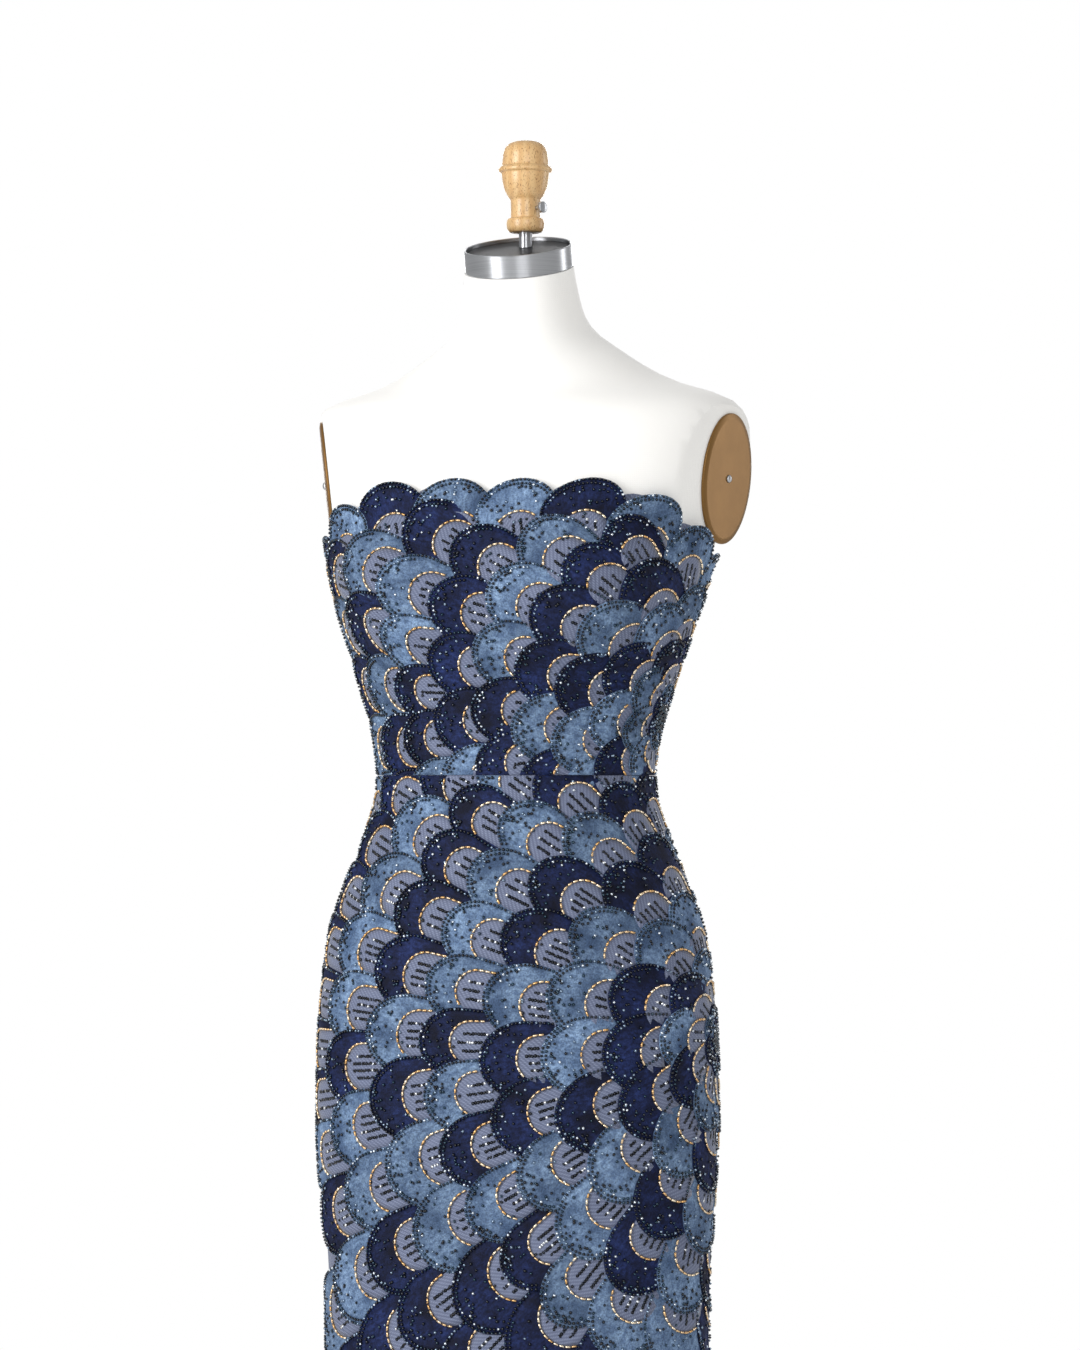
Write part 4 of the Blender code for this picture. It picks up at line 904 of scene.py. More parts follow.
def velvet_finish(name, deep, middle, bright):
    """Panne velvet: a short silky pile pressed flat in places, so that it is dark looked into and pale at a
    slant. The presses show as soft marks about 3 by 5 mm, over the grain of the pile, drawn at 1.4 mm, and
    are painted pale as a painted sheen."""
    made, tree, shader = new_finish(
        name, Roughness=0.7, Specular_IOR_Level=0.18, Sheen_Weight=0.55, Sheen_Roughness=0.32,
        Sheen_Tint=colour(bright),
    )
    pile = add_node(tree, "ShaderNodeAttribute", attribute_name="pile").outputs["Vector"]
    streaks = add_node(tree, "ShaderNodeMapping", {"Vector": pile, "Scale": (380, 190, 1)}).outputs["Vector"]
    press = add_node(
        tree, "ShaderNodeTexNoise", {"Vector": streaks, "Scale": 1.0, "Detail": 4.0}
    ).outputs["Fac"]
    grain = add_node(
        tree, "ShaderNodeTexNoise", {"Vector": pile, "Scale": 700.0, "Detail": 2.0}
    ).outputs["Fac"]
    wide = add_node(tree, "ShaderNodeTexNoise", {"Vector": pile, "Scale": 42.0, "Detail": 2.0}).outputs["Fac"]
    apart = add_node(tree, "ShaderNodeSeparateXYZ", {"Vector": pile}).outputs
    raised = add_node(
        tree, "ShaderNodeMapRange", {"Value": press, "From Min": 0.36, "From Max": 0.68}
    ).outputs["Result"]
    soft = add_node(
        tree, "ShaderNodeMapRange", {"Value": wide, "From Min": 0.3, "From Max": 0.7}
    ).outputs["Result"]
    painted_sheen_mask = add_node(tree, "ShaderNodeMath", {0: raised, 1: soft}, operation="MULTIPLY").outputs[0]
    body = add_node(
        tree, "ShaderNodeMix", {0: soft, 6: colour(deep), 7: colour(middle)}, data_type="RGBA"
    ).outputs[2]
    # The pressed marks, strongest where the wide mottle is high, are painted in the pale colour: a painted
    # sheen.
    lit = add_node(tree, "ShaderNodeMix", {0: painted_sheen_mask, 6: body, 7: colour(bright)}, data_type="RGBA").outputs[2]
    tone = add_node(
        tree, "ShaderNodeMapRange", {"Value": apart["Z"], "To Min": 0.80, "To Max": 1.14}
    ).outputs["Result"]
    fleck = add_node(
        tree, "ShaderNodeMapRange",
        {"Value": grain, "From Min": 0.3, "From Max": 0.7, "To Min": 0.62, "To Max": 1.38},
    ).outputs["Result"]
    shade = add_node(tree, "ShaderNodeMath", {0: tone, 1: fleck}, operation="MULTIPLY").outputs[0]
    tint = add_node(
        tree, "ShaderNodeVectorMath", {0: lit, "Scale": shade}, operation="SCALE"
    ).outputs["Vector"]
    height = add_node(tree, "ShaderNodeMath", {0: press, 1: grain}, operation="ADD").outputs[0]
    bump = add_node(
        tree, "ShaderNodeBump", {"Height": height, "Strength": 0.5, "Distance": 0.0008}
    ).outputs["Normal"]
    feed(shader, Base_Color=tint, Normal=bump)
    return made


navy_velvet = velvet_finish("Panne_velvet_navy", "#080C20", "#0E1738", "#22305F")
blue_velvet = velvet_finish("Panne_velvet_dusty_blue", "#3F5371", "#5A7090", "#86A0BF")


def cut_flat(bm, point, normal, part=None):
    """Cuts the flat pattern by a plane and drops what lies beyond it."""
    geom = part or bm.verts[:] + bm.edges[:] + bm.faces[:]
    bmesh.ops.bisect_plane(bm, geom=geom, dist=1e-7, plane_co=point, plane_no=normal, clear_outer=True)


def trim_to_panel(bm, panel):
    """Cuts a flat pattern of turn, height and lift to a panel's seams."""
    gap = 0.25 * MM
    if panel.bodice:
        cut_flat(bm, (0, SEAM_GAP / 2, 0), (0, -1, 0))
    else:
        cut_flat(bm, (0, -SEAM_GAP / 2, 0), (0, 1, 0))
        cut_flat(bm, (0, HEM + 0.4 * MM, 0), (0, -1, 0))
    for turn, side in ((panel.first, -1), (panel.last, 1)):
        if abs(turn - math.pi) > 0.01:
            cut_flat(bm, (turn * FAN_GIRTH - side * gap, 0, 0), (side, 0, 0))
            continue
        # At the centre back the pattern is measured in true millimetres from the zip.
        for vert in bm.verts:
            vert.co.x = (vert.co.x / FAN_GIRTH - math.pi) * float(girth_radius(vert.co.y))
        cut_flat(bm, (-side * gap, 0, 0), (side, 0, 0))
        bmesh.ops.bisect_plane(
            bm, geom=bm.verts[:] + bm.edges[:] + bm.faces[:], dist=1e-7, plane_co=(0, ZIP_FOOT - 2 * MM, 0),
            plane_no=(0, 1, 0),
        )
        upper = [f for f in bm.faces if f.calc_center_median().y > ZIP_FOOT - 2 * MM]
        upper += list({e for f in upper for e in f.edges}) + list({v for f in upper for v in f.verts})
        cut_flat(bm, (-side * (ZIP_WIDTH / 2 + ZIP_GAP), 0, 0), (side, 0, 0), upper)
        for vert in bm.verts:
            vert.co.x = (vert.co.x / float(girth_radius(vert.co.y)) + math.pi) * FAN_GIRTH


def wrap_on_figure(bm):
    """Lays a flat pattern of turn, height and lift on the figure, its faces outward."""
    flat = np.array([v.co for v in bm.verts]).reshape(-1, 3)
    placed, _ = on_cloth(flat[:, 0] / FAN_GIRTH, flat[:, 1], flat[:, 2])
    for vert, place in zip(bm.verts, placed):
        vert.co = place


def lay_grid(bm, layer, petal, number, across_share, along, half, lift, under, petal_tone):
    """Adds one grid in the flat pattern, drops the faces that other petals hide, and notes its pile."""
    grid = bmesh.ops.create_grid(bm, x_segments=across_share, y_segments=len(along) - 1, size=0.5)["verts"]
    spots = np.array([v.co for v in grid])
    down = np.interp(spots[:, 1] + 0.5, np.linspace(0, 1, len(along)), along)
    across = spots[:, 0] * 2 * half(down)
    turn, height = on_figure(petal, across, down)
    raised = lift(across, down)
    covered = hidden(under, turn, height, petal_lift(petal, across, down), HIDING_MARGIN)
    for vert, t, h, up, a, d, c in zip(grid, turn, height, raised, across, down, covered):
        vert.co = (t * FAN_GIRTH, h, up)
        vert[layer] = (a + 0.2 * number, d, petal_tone)
        vert.tag = bool(c)
    gone = {f for v in grid for f in v.link_faces if all(w.tag for w in f.verts)}
    bmesh.ops.delete(bm, geom=list(gone), context="FACES")


def in_panel(panel, petal):
    """Whether any of a petal can lie in a panel."""
    room = (0.5 * petal.width + petal.length) / float(girth_radius(petal.height))
    return panel.first - room < petal.turn < panel.last + room


tones = {key: dice.random(len(petals)) for key, petals in layouts.items()}
dressing = {panel.name: [] for panel in PANELS}
for panel in PANELS:
    key = panel.bodice
    for dark, finish, label in ((True, navy_velvet, "navy"), (False, blue_velvet, "blue")):
        bm = bmesh.new()
        layer = bm.verts.layers.float_vector.new("pile")
        for n, petal in enumerate(layouts[key]):
            if navy_petals[key][n] != dark or not in_panel(panel, petal):
                continue
            turning = np.radians(np.linspace(9, 90, CAP_ROWS))
            along = [
                *(petal.cap * (1 - np.cos(turning))),
                *np.linspace(petal.cap, 0.97 * petal.length, SIDE_ROWS)[1:],
            ]
            lay_grid(
                bm, layer, petal, n, 8, along, lambda d: petal_half_width(petal, d),
                lambda a, d: petal_lift(petal, a, d), near_of[key][n], tones[key][n],
            )
        trim_to_panel(bm, panel)
        wrap_on_figure(bm)
        piece = put(f"{panel.name}_{label}_petals", bm, [finish], None)
        thicken(piece, PETAL_THICK)
        dressing[panel.name].append(piece)

# Tulle windows.
# In each petal the velvet is cut away under a round arch, and the tulle beneath shows there.
# Here it is a thin sheet of the same tulle laid in the arch.
WINDOW_WIDTH = 0.60
WINDOW_LIFT = 0.32 * MM
WINDOW_LENGTH = 0.80
WINDOW_ROWS = 12
WINDOW_THICK = 0.3 * MM
SMALLEST_WINDOW = 36 * MM
NECKLINE_BAND = 0.42
BODICE_BAND = 0.47
SKIRT_BAND = 0.50


def window_start(petal):
    """Distance from a petal's tip to its window: the skirt's petals have the deepest bands of velvet."""
    share = NECKLINE_BAND if petal.order >= NECK_ORDER else BODICE_BAND if petal.height > 0 else SKIRT_BAND
    return share * petal.width


def window_half_width(petal, along):
    """Half width of a petal's window at a distance from the petal's tip."""
    radius = 0.5 * WINDOW_WIDTH * petal.width
    cap = np.clip(1 - (along - window_start(petal)) / radius, 0, 1)
    return np.minimum(radius * np.sqrt(1 - cap**2), petal_half_width(petal, along) - 2.5 * MM)


for panel in PANELS:
    key = panel.bodice
    bm = bmesh.new()
    layer = bm.verts.layers.float_vector.new("weave")
    for n, petal in enumerate(layouts[key]):
        if petal.width < SMALLEST_WINDOW or not in_panel(panel, petal):
            continue
        radius = 0.5 * WINDOW_WIDTH * petal.width
        turning = np.radians(np.linspace(10, 90, 6))
        start = window_start(petal)
        sides = np.linspace(
            start + radius, max(WINDOW_LENGTH * petal.length, start + radius + 10 * MM), WINDOW_ROWS
        )
        along = [*(start + radius * (1 - np.cos(turning))), *sides[1:]]
        lay_grid(
            bm, layer, petal, n, 6, along, lambda d: window_half_width(petal, d),
            lambda a, d: petal_lift(petal, a, d) + WINDOW_LIFT, near_of[key][n], 0.0,
        )
    trim_to_panel(bm, panel)
    wrap_on_figure(bm)
    piece = put(f"{panel.name}_tulle_windows", bm, [tulle], None)
    thicken(piece, WINDOW_THICK)
    dressing[panel.name].append(piece)

# Seed beads.
# Glass beads lined in gunmetal, 3.2 mm across, sewn one by one along the edge of each petal, in a second row
# round its tip, and strewn below that. A few have a teal lining, and about one in five is painted grey or
# near white all over: a painted glint.
BEAD_SIZE = 3.2 * MM
BEAD_PITCH = 3.5 * MM
BEAD_SEAT = 0.45 * BEAD_SIZE
ROW_INSETS = (1.5 * MM, 5.0 * MM)
THREAD_LIFT = 3 * MM
ROW_CLEAR = 1.3 * MM
STREWN_CLEAR = 1.6 * MM
ROW_DEPTH = 0.75
STREWN_COUNT = 26
STREWN_DEPTH = 30 * MM
USUAL_WIDTH = 64 * MM

# Gunmetal-lined glass: near mirror, dark, with a clear coat. tone picks the lining of each bead, and above
# 0.80 it paints the bead grey, above 0.95 near white, as a painted glint.
bead_glass, tree, shader = new_finish(
    "Glass_seed_beads_gunmetal", Metallic=0.75, Roughness=0.16, Coat_Weight=0.8, Coat_Roughness=0.05
)
tone = add_node(tree, "ShaderNodeAttribute", attribute_name="tone").outputs["Fac"]
teal = add_node(tree, "ShaderNodeMath", {0: tone, 1: 0.52}, operation="GREATER_THAN").outputs[0]
# These two masks paint whole beads grey or near white: a painted glint.
grey = add_node(tree, "ShaderNodeMath", {0: tone, 1: 0.80}, operation="GREATER_THAN").outputs[0]
pale = add_node(tree, "ShaderNodeMath", {0: tone, 1: 0.95}, operation="GREATER_THAN").outputs[0]
lined = add_node(
    tree, "ShaderNodeMix", {0: tone, 6: colour("#06080F"), 7: colour("#212A3A")}, data_type="RGBA"
).outputs[2]
tinted = add_node(
    tree, "ShaderNodeMix", {0: teal, 6: lined, 7: colour("#1B3A4C")}, data_type="RGBA"
).outputs[2]
glint = add_node(
    tree, "ShaderNodeMix", {0: grey, 6: tinted, 7: colour("#8DA2B8")}, data_type="RGBA"
).outputs[2]
tint = add_node(tree, "ShaderNodeMix", {0: pale, 6: glint, 7: colour("#E4EDF5")}, data_type="RGBA").outputs[2]
feed(shader, Base_Color=tint)


def strew(name, template, places, out, way, sizes, tone, finish):
    """Sets a copy of a small template on each place, its Z along out and its X along way, all in one mesh."""
    mesh = bpy.data.meshes.new(f"{name}_places")
    mesh.from_pydata([tuple(p) for p in places], [], [])
    for label, kind, values in (
        ("out", "FLOAT_VECTOR", out), ("way", "FLOAT_VECTOR", way), ("size", "FLOAT", sizes),
        ("tone", "FLOAT", tone),
    ):
        layer = mesh.attributes.new(label, kind, "POINT")
        field = "vector" if kind == "FLOAT_VECTOR" else "value"
        layer.data.foreach_set(field, np.ravel(values).astype(np.float32))
    holder = bpy.data.objects.new(f"{name}_places", mesh)
    bpy.context.scene.collection.objects.link(holder)
    group = bpy.data.node_groups.new(f"Strew_{name}", "GeometryNodeTree")
    group.interface.new_socket("Geometry", in_out="INPUT", socket_type="NodeSocketGeometry")
    group.interface.new_socket("Geometry", in_out="OUTPUT", socket_type="NodeSocketGeometry")
    given = group.nodes.new("NodeGroupInput").outputs[0]
    small = add_node(group, "GeometryNodeObjectInfo", {"Object": template}).outputs["Geometry"]
    outward = add_node(group, "GeometryNodeInputNamedAttribute", {"Name": "out"}, data_type="FLOAT_VECTOR")
    along = add_node(group, "GeometryNodeInputNamedAttribute", {"Name": "way"}, data_type="FLOAT_VECTOR")
    scale = add_node(group, "GeometryNodeInputNamedAttribute", {"Name": "size"}, data_type="FLOAT")
    stood = add_node(group, "FunctionNodeAlignRotationToVector", {"Vector": outward.outputs[0]}, axis="Z")
    turned = add_node(
        group, "FunctionNodeAlignRotationToVector",
        {"Rotation": stood.outputs[0], "Vector": along.outputs[0]},
        axis="X", pivot_axis="Z",
    )
    copies = add_node(
        group, "GeometryNodeInstanceOnPoints",
        {"Points": given, "Instance": small, "Rotation": turned.outputs[0], "Scale": scale.outputs[0]},
    )
    real = add_node(group, "GeometryNodeRealizeInstances", {"Geometry": copies.outputs[0]})
    group.links.new(real.outputs[0], group.nodes.new("NodeGroupOutput").inputs[0])
    holder.modifiers.new("Strew", "NODES").node_group = group
    ready = holder.evaluated_get(bpy.context.evaluated_depsgraph_get())
    made = bpy.data.objects.new(name, bpy.data.meshes.new_from_object(ready))
    bpy.context.scene.collection.objects.link(made)
    bpy.data.objects.remove(holder)
    for label in ("out", "way", "size"):
        made.data.attributes.remove(made.data.attributes[label])
    made.data.materials.clear()
    made.data.materials.append(finish)
    made.data.shade_smooth()
    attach(made, "gown_and_form")
    return made


def template_of(name, bm):
    """A small shape to strew, kept out of the scene."""
    mesh = bpy.data.meshes.new(name)
    bm.to_mesh(mesh)
    bm.free()
    return bpy.data.objects.new(name, mesh)


def edge_line(petal, inset, widest, deepest):
    """A line on a petal that runs inset inside its edge, up one side, round the tip and down."""
    swing = np.radians(np.linspace(-widest, widest, 41))
    arc = (0.5 * petal.width - inset) * np.sin(swing), petal.cap - (petal.cap - inset) * np.cos(swing)
    if deepest <= petal.cap:
        return arc
    down = np.linspace(petal.cap, deepest, 24)[1:]
    side = petal_half_width(petal, down) - inset
    return np.concatenate([-side[::-1], arc[0], side]), np.concatenate([down[::-1], arc[1], down])


def spaced(petal, across, along, pitch):
    """Points a pitch apart along a line that is given, as they are, across and along a petal."""
    place, _ = on_cloth(*on_figure(petal, across, along), THREAD_LIFT)
    run = np.concatenate([[0], np.cumsum(np.linalg.norm(np.diff(place, axis=0), axis=1))])
    count = int(run[-1] / pitch)
    stops = (np.arange(count) + 0.5) * run[-1] / max(count, 1)
    return np.interp(stops, run, across), np.interp(stops, run, along)


def sewn(panel, number, across, along, extra, margin):
    """Keeps the points of a petal that show in a panel, and gives their places, normals and directions."""
    key = panel.bodice
    petal = layouts[key][number]
    turn, height = on_figure(petal, across, along)
    lift = petal_lift(petal, across, along)
    radius = girth_radius(height)
    first = panel.first + edge_gap(panel.first, height) / radius + margin / radius
    last = panel.last - edge_gap(panel.last, height) / radius - margin / radius
    shown = (turn > first) & (turn < last) & ~hidden(near_of[key][number], turn, height, lift, -0.6 * margin)
    shown &= (height > margin) if panel.bodice else (height < -margin) & (height > HEM + margin)
    ahead_turn, ahead_height = on_figure(petal, across, along - 1 * MM)
    place, normal = on_cloth(turn, height, lift + extra)
    ahead, _ = on_cloth(ahead_turn, ahead_height, lift + extra)
    return place[shown], normal[shown], (ahead - place)[shown], shown


def line_ways(place):
    """Direction of a line of points at each of them."""
    return np.gradient(place, axis=0) if len(place) > 1 else np.ones_like(place)


bm = bmesh.new()
bmesh.ops.create_uvsphere(bm, u_segments=5, v_segments=2, radius=0.5)
bmesh.ops.scale(bm, vec=(1, 1, 0.85), verts=bm.verts)
seed = template_of("Seed_bead", bm)
for panel in PANELS:
    places, normals = [], []
    for number, petal in enumerate(layouts[panel.bodice]):
        if not in_panel(panel, petal):
            continue
        for inset, widest, deepest in ((ROW_INSETS[0], 90, ROW_DEPTH * petal.length), (ROW_INSETS[1], 72, 0)):
            if 0.5 * petal.width < inset + 6 * MM:
                continue
            line = spaced(petal, *edge_line(petal, inset, widest, deepest), BEAD_PITCH)
            place, normal, _, _ = sewn(panel, number, *line, BEAD_SEAT, ROW_CLEAR)
            places.append(place)
            normals.append(normal)
        size = petal.width / USUAL_WIDTH
        strewn = round(STREWN_COUNT * size)
        down = ROW_INSETS[1] + 3 * MM + STREWN_DEPTH * size * dice.random(strewn) ** 1.5
        half = np.maximum(petal_half_width(petal, down) - ROW_INSETS[1] - 2 * MM, 1 * MM)
        across = half * dice.uniform(-1, 1, strewn)
        place, normal, _, _ = sewn(panel, number, across, down, BEAD_SEAT, STREWN_CLEAR)
        places.append(place)
        normals.append(normal)
    places, normals = np.concatenate(places), np.concatenate(normals)
    ways = dice.normal(size=places.shape)
    sizes = BEAD_SIZE * dice.uniform(0.86, 1.06, len(places))
    piece = strew(
        f"{panel.name}_seed_beads", seed, places, normals, ways, sizes, dice.random(len(places)), bead_glass
    )
    dressing[panel.name].append(piece)

# Gold bugles.
# Short tubes of silver-lined glass in pale gold, 4.5 mm long, sewn end to end round the arch of each window.
# They cover the raw edge of the velvet.
BUGLE_LENGTH = 4.5 * MM
BUGLE_WIDTH = 2.2 * MM
BUGLE_PITCH = 5.3 * MM
BUGLE_CLEAR = 1.6 * MM
ARCH_OUTSIDE = 0.5 * MM
ARCH_DEPTH = 0.7

# Gold-lined glass: bright metal colour under glass, from coppery to nearly white at random; the paler tubes
# are a painted highlight of tubes that catch light.
bugle_glass, tree, shader = new_finish(
    "Glass_bugle_beads_gold_lined", Metallic=0.85, Roughness=0.2, Coat_Weight=0.6, Coat_Roughness=0.06
)
tone = add_node(tree, "ShaderNodeAttribute", attribute_name="tone").outputs["Fac"]
tint = add_node(
    tree, "ShaderNodeMix", {0: tone, 6: colour("#D8A868"), 7: colour("#FFEFD2")}, data_type="RGBA"
).outputs[2]
feed(shader, Base_Color=tint)


def arch_line(petal, outside, deepest):
    """A line across and along a petal that runs just outside its window's arch."""
    radius = 0.5 * WINDOW_WIDTH * petal.width
    swing = np.radians(np.linspace(-90, 90, 41))
    foot = window_start(petal) + radius
    arc = (radius + outside) * np.sin(swing), foot - (radius + outside) * np.cos(swing)
    down = np.linspace(foot, max(deepest, foot + 4 * MM), 16)[1:]
    side = window_half_width(petal, down) + outside
    return np.concatenate([-side[::-1], arc[0], side]), np.concatenate([down[::-1], arc[1], down])


bm = bmesh.new()
bmesh.ops.create_cone(
    bm, cap_ends=True, segments=5, radius1=0.5 * BUGLE_WIDTH, radius2=0.5 * BUGLE_WIDTH, depth=BUGLE_LENGTH
)
bmesh.ops.rotate(bm, verts=bm.verts, matrix=Matrix.Rotation(math.pi / 2, 3, "Y"))
bugle = template_of("Bugle_bead", bm)
for panel in PANELS:
    places, normals, ways = [], [], []
    for number, petal in enumerate(layouts[panel.bodice]):
        if petal.width < SMALLEST_WINDOW or not in_panel(panel, petal):
            continue
        deepest = ARCH_DEPTH * petal.length
        across, along = spaced(petal, *arch_line(petal, ARCH_OUTSIDE, deepest), BUGLE_PITCH)
        way = line_ways(on_cloth(*on_figure(petal, across, along), THREAD_LIFT)[0])
        place, normal, _, shown = sewn(
            panel, number, across, along, 0.5 * BUGLE_WIDTH + WINDOW_LIFT, BUGLE_CLEAR
        )
        places.append(place)
        normals.append(normal)
        ways.append(way[shown])
    places, normals, ways = (np.concatenate(part) for part in (places, normals, ways))
    ways /= np.linalg.norm(ways, axis=1, keepdims=True)
    sizes = dice.uniform(0.9, 1.05, len(places))
    piece = strew(
        f"{panel.name}_gold_bugles", bugle, places, normals, ways, sizes, dice.random(len(places)) ** 1.3,
        bugle_glass,
    )
    dressing[panel.name].append(piece)

# Sequins.
# Cupped plastic sequins with a dark metallised face, 3.5 mm across, sewn overlapping in three or four short
# rows down each window. About one in ten is painted near white all over: a painted flash of light.
SEQUIN_SIZE = 3.5 * MM
SEQUIN_PITCH = 2.5 * MM
SEQUIN_START = 8 * MM
FOUR_ROWS_FROM = 62 * MM
SEQUIN_CLEAR = 2.2 * MM
SEQUIN_TILT = 0.22
SEQUIN_DEPTH = 0.72

sequin_film, tree, shader = new_finish(
    "Sequin_film_metallised_dark", Metallic=0.8, Roughness=0.14, Coat_Weight=0.5, Coat_Roughness=0.05
)
tone = add_node(tree, "ShaderNodeAttribute", attribute_name="tone").outputs["Fac"]
# A tone over 0.88 paints the sequin near white: a painted flash of light.
painted_flash_mask = add_node(tree, "ShaderNodeMath", {0: tone, 1: 0.88}, operation="GREATER_THAN").outputs[0]
darker = add_node(
    tree, "ShaderNodeMix", {0: tone, 6: colour("#0A0C12"), 7: colour("#252B36")}, data_type="RGBA"
).outputs[2]
tint = add_node(
    tree, "ShaderNodeMix", {0: painted_flash_mask, 6: darker, 7: colour("#F2F6FB")}, data_type="RGBA"
).outputs[2]
feed(shader, Base_Color=tint)

bm = bmesh.new()
bmesh.ops.create_uvsphere(bm, u_segments=6, v_segments=2, radius=0.5)
bmesh.ops.scale(bm, vec=(1, 1, 0.16), verts=bm.verts)
sequin = template_of("Sequin", bm)
for panel in PANELS:
    places, normals, ways = [], [], []
    for number, petal in enumerate(layouts[panel.bodice]):
        if petal.width < SMALLEST_WINDOW or not in_panel(panel, petal):
            continue
        rows = 3 if petal.width < FOUR_ROWS_FROM else 4
        for row in range(rows):
            share = (row - (rows - 1) / 2) / rows * 1.25
            start = window_start(petal) + SEQUIN_START * (1 + 0.9 * abs(share)) + dice.uniform(-2, 3) * MM
            down = np.arange(start, SEQUIN_DEPTH * petal.length, SEQUIN_PITCH)
            half = 0.5 * WINDOW_WIDTH * petal.width * (1 - 0.35 * (down - start) / petal.length)
            place, normal, way, shown = sewn(
                panel, number, share * half, down, WINDOW_LIFT + 0.5 * MM, SEQUIN_CLEAR
            )
            places.append(place)
            normals.append(normal)
            ways.append(way)
    places, normals, ways = (np.concatenate(part) for part in (places, normals, ways))
    tilted = normals + SEQUIN_TILT * dice.normal(size=normals.shape)
    piece = strew(
        f"{panel.name}_sequins", sequin, places, tilted, ways, SEQUIN_SIZE * np.ones(len(places)),
        dice.random(len(places)), sequin_film,
    )
    dressing[panel.name].append(piece)

# Burst centres.
# A button of gunmetal seed beads, sewn close in a spiral, covers the roots of the innermost petals at each
# fan's centre, on the left side seam.
BURST_RADIUS = 13 * MM
BURST_BEADS = 64
GOLDEN_ANGLE = math.radians(137.5)
for fan, label in ((BODICE_FAN, "bodice"), (SKIRT_FAN, "skirt")):
    steps = np.arange(BURST_BEADS)
    reach = BURST_RADIUS * np.sqrt((steps + 0.5) / BURST_BEADS)
    spiral = steps * GOLDEN_ANGLE
    turn = FAN_TURN + reach * np.cos(spiral) / girth_radius(fan.height)
    height = fan.height + reach * np.sin(spiral)
    clear = np.abs(reach * np.cos(spiral)) > 1.2 * MM
    place, normal = on_cloth(turn[clear], height[clear], PETAL_LOW + PETAL_RISE + 0.3 * MM)
    strew(
        f"{label}_burst_beads", seed, place, normal, dice.normal(size=place.shape),
        BEAD_SIZE * 1.15 * np.ones(len(place)), dice.random(len(place)) * 0.8, bead_glass,
    )

for panel in PANELS:
    wall, flat, area = walls[panel.name]

# Back zip.
# A woven navy tape with a nylon coil down its middle, sewn in the slot between the two backs.
# A steel slider with a pull tab closes it at the top.
TOOTH_PITCH = 1.5 * MM
ZIP_LIFT = 1.5 * MM
TAPE_LIFT = 1.2 * MM
TAPE_THICK = 0.8 * MM

# Woven polyester tape: a herringbone of fine threads, drawn 1 mm apart.
tape, tree, shader = new_finish(
    "Polyester_zip_tape_navy", Roughness=0.75, Specular_IOR_Level=0.25, Sheen_Weight=0.2
)
spot = add_node(tree, "ShaderNodeTexCoord").outputs["Object"]
weave = add_node(
    tree, "ShaderNodeTexWave", {"Vector": spot, "Scale": 300.0, "Distortion": 0.6}, bands_direction="Z"
).outputs["Fac"]
tint = add_node(
    tree, "ShaderNodeMix", {0: weave, 6: colour("#0C1330"), 7: colour("#1C2755")}, data_type="RGBA"
).outputs[2]
bump = add_node(
    tree, "ShaderNodeBump", {"Height": weave, "Strength": 0.3, "Distance": 0.0003}
).outputs["Normal"]
feed(shader, Base_Color=tint, Normal=bump)

# Nylon coil: smooth moulded monofilament in navy with a small wet-looking highlight on each turn.
nylon, tree, shader = new_finish("Nylon_zip_coil_navy", Roughness=0.3, Specular_IOR_Level=0.5)
spot = add_node(tree, "ShaderNodeTexCoord").outputs["Object"]
scuff = add_node(tree, "ShaderNodeTexNoise", {"Vector": spot, "Scale": 300.0, "Detail": 2.0}).outputs["Fac"]
tint = add_node(
    tree, "ShaderNodeMix", {0: scuff, 6: colour("#10183C"), 7: colour("#202C60")}, data_type="RGBA"
).outputs[2]
feed(shader, Base_Color=tint)

bm = bmesh.new()
bmesh.ops.create_grid(bm, x_segments=6, y_segments=60, size=0.5)
spots = np.array([v.co for v in bm.verts])
heights = ZIP_FOOT + 0.2 * MM + (spots[:, 1] + 0.5) * (ZIP_TOP - ZIP_FOOT - 0.2 * MM)
placed, _ = on_cloth(math.pi + spots[:, 0] * ZIP_WIDTH / girth_radius(heights), heights, TAPE_LIFT)
for vert, place in zip(bm.verts, placed):
    vert.co = place
bmesh.ops.recalc_face_normals(bm, faces=bm.faces)
if bm.faces[:][0].normal.y < 0:
    bmesh.ops.reverse_faces(bm, faces=bm.faces)
zip_tape = put("back_zip_tape", bm, [tape], "back_zip")
thicken(zip_tape, TAPE_THICK)

bm = bmesh.new()
bmesh.ops.create_uvsphere(bm, u_segments=6, v_segments=4, radius=0.5)
bmesh.ops.scale(bm, vec=(3.2 * MM, 1.0 * MM, 1.0 * MM), verts=bm.verts)
tooth = template_of("Coil_turn", bm)
heights = np.arange(ZIP_FOOT + 1 * MM, ZIP_TOP - 15 * MM, TOOTH_PITCH / 2)
sides = np.where(np.arange(len(heights)) % 2 == 0, 1, -1)
turn = math.pi + sides * 0.6 * MM / girth_radius(heights)
place, normal = on_cloth(turn, heights, ZIP_LIFT)
strew(
    "back_zip_coil", tooth, place, normal, np.tile([1.0, 0, 0], (len(place), 1)), np.ones(len(place)),
    np.zeros(len(place)), nylon,
)
for node_name in ("zip_slider", "pull_tab"):
    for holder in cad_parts[node_name].material_slots:
        holder.material = steel

# Studio.
# A pale seamless floor, a large soft light on the left, weaker ones on the right and behind, and a white
# surround. The camera stands a little to the left of the front, at bust height.
AZIMUTH = math.radians(15)
VIEW_HEIGHT = 1.196
DISTANCE = 4.0
CAMERA_HEIGHT = 1.06
AIM_HEIGHT = 1.159
AIM_ASIDE = 21.2 * MM
SENSOR = 36.0

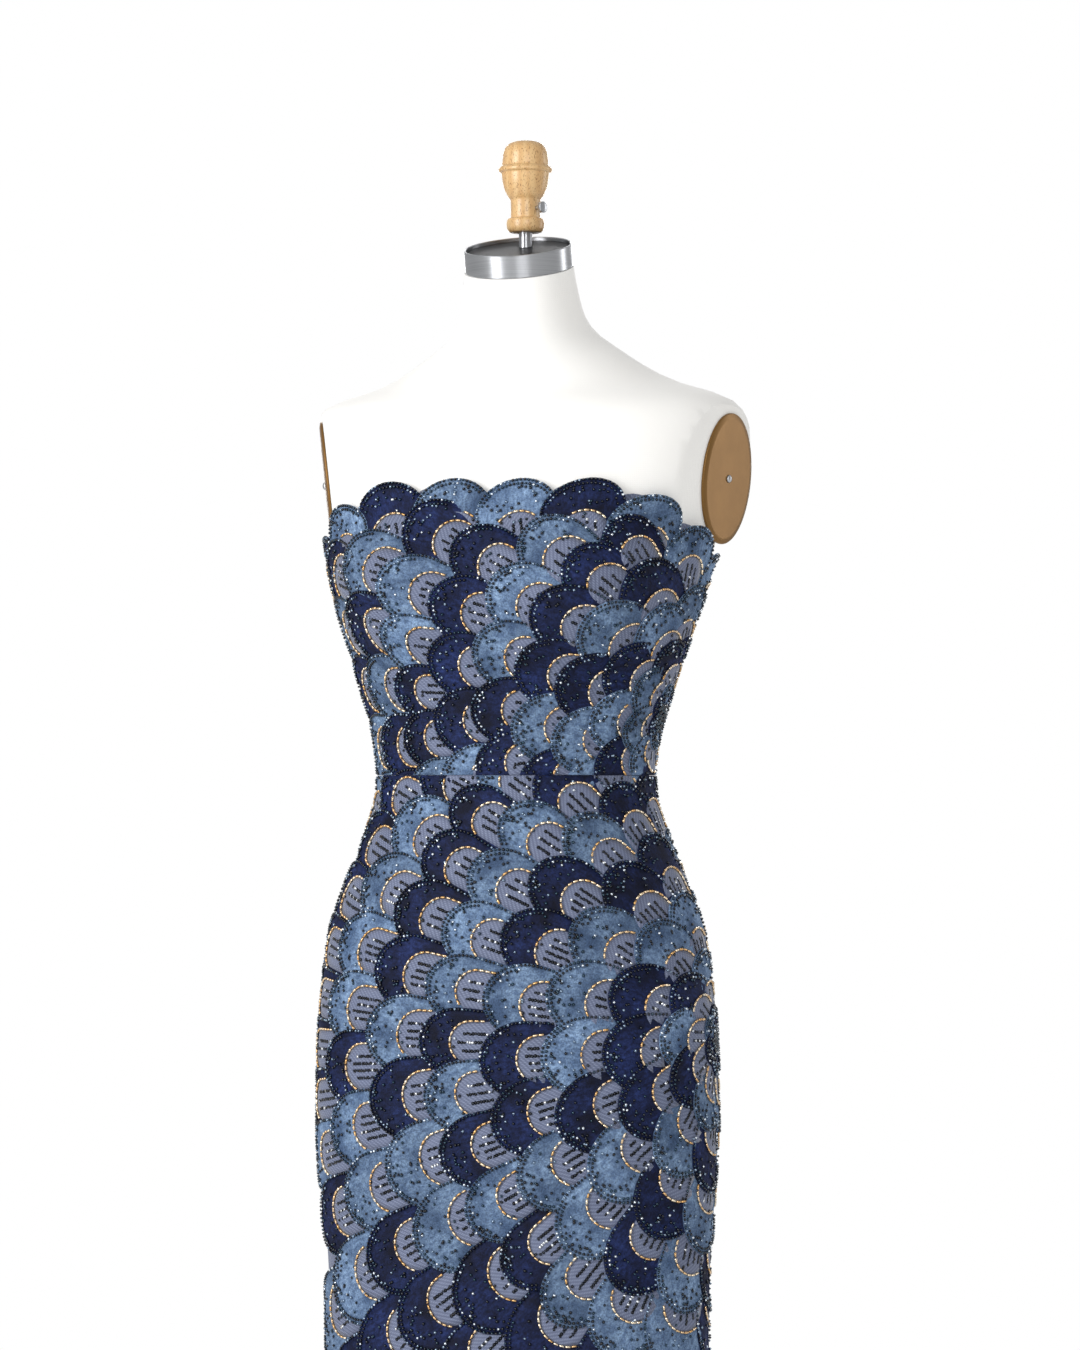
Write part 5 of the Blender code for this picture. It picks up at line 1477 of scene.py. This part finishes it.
floor_paint, tree, shader = new_finish("Studio_floor_matt_white", Roughness=0.9)
spot = add_node(tree, "ShaderNodeTexCoord").outputs["Object"]
cloud = add_node(tree, "ShaderNodeTexNoise", {"Vector": spot, "Scale": 2.0, "Detail": 2.0}).outputs["Fac"]
tint = add_node(
    tree, "ShaderNodeMix", {0: cloud, 6: colour("#EDEDEC"), 7: colour("#F4F4F3")}, data_type="RGBA"
).outputs[2]
feed(shader, Base_Color=tint)
bm = bmesh.new()
bmesh.ops.create_circle(bm, cap_ends=True, segments=96, radius=3.2)
mesh = bpy.data.meshes.new("studio_floor")
bm.to_mesh(mesh)
bm.free()
floor = bpy.data.objects.new("studio_floor", mesh)
mesh.materials.append(floor_paint)
bpy.context.scene.collection.objects.link(floor)

world = bpy.data.worlds.new("Studio")
world.use_nodes = True
bpy.context.scene.world = world
background = world.node_tree.nodes["Background"]
seen = add_node(world.node_tree, "ShaderNodeLightPath").outputs["Is Camera Ray"]
strength = add_node(world.node_tree, "ShaderNodeMapRange", {"Value": seen, "To Min": 0.45, "To Max": 1.0})
world.node_tree.links.new(strength.outputs["Result"], background.inputs["Strength"])
background.inputs["Color"].default_value = (1, 1, 1, 1)

right = Vector((math.cos(AZIMUTH), math.sin(AZIMUTH), 0))
ahead = Vector((-math.sin(AZIMUTH), math.cos(AZIMUTH), 0))


def soft_light(name, side, near, up, size, power):
    """An area light placed from the camera's point of view and aimed at the gown."""
    lamp = bpy.data.lights.new(name, "AREA")
    lamp.shape = "RECTANGLE"
    lamp.size, lamp.size_y = size
    lamp.energy = power
    made = bpy.data.objects.new(name, lamp)
    bpy.context.scene.collection.objects.link(made)
    made.location = right * side - ahead * near + Vector((0, 0, up))
    aim = Vector((0, 0, 1.0)) - made.location
    made.rotation_euler = aim.to_track_quat("-Z", "Y").to_euler()
    return made


soft_light("key_left", -2.3, 1.9, 1.9, (1.2, 2.0), 68)
soft_light("front_fill", 0.5, 3.4, 2.2, (1.4, 1.4), 32)
soft_light("right_edge", 2.4, -0.9, 1.6, (0.5, 1.8), 9)
soft_light("back_wash", 0.3, -3.0, 2.0, (2.2, 1.6), 50)

aim = right * AIM_ASIDE + Vector((0, 0, AIM_HEIGHT))
eye = aim - ahead * DISTANCE
eye.z = CAMERA_HEIGHT
lens = bpy.data.cameras.new("Photo_view")
lens.sensor_fit = "VERTICAL"
lens.sensor_height = SENSOR
lens.lens = SENSOR * DISTANCE / VIEW_HEIGHT
camera = bpy.data.objects.new("Photo_view", lens)
bpy.context.scene.collection.objects.link(camera)
camera.location = eye
camera.rotation_euler = (aim - eye).to_track_quat("-Z", "Y").to_euler()
bpy.context.scene.camera = camera
bpy.context.scene.view_settings.view_transform = "Standard"
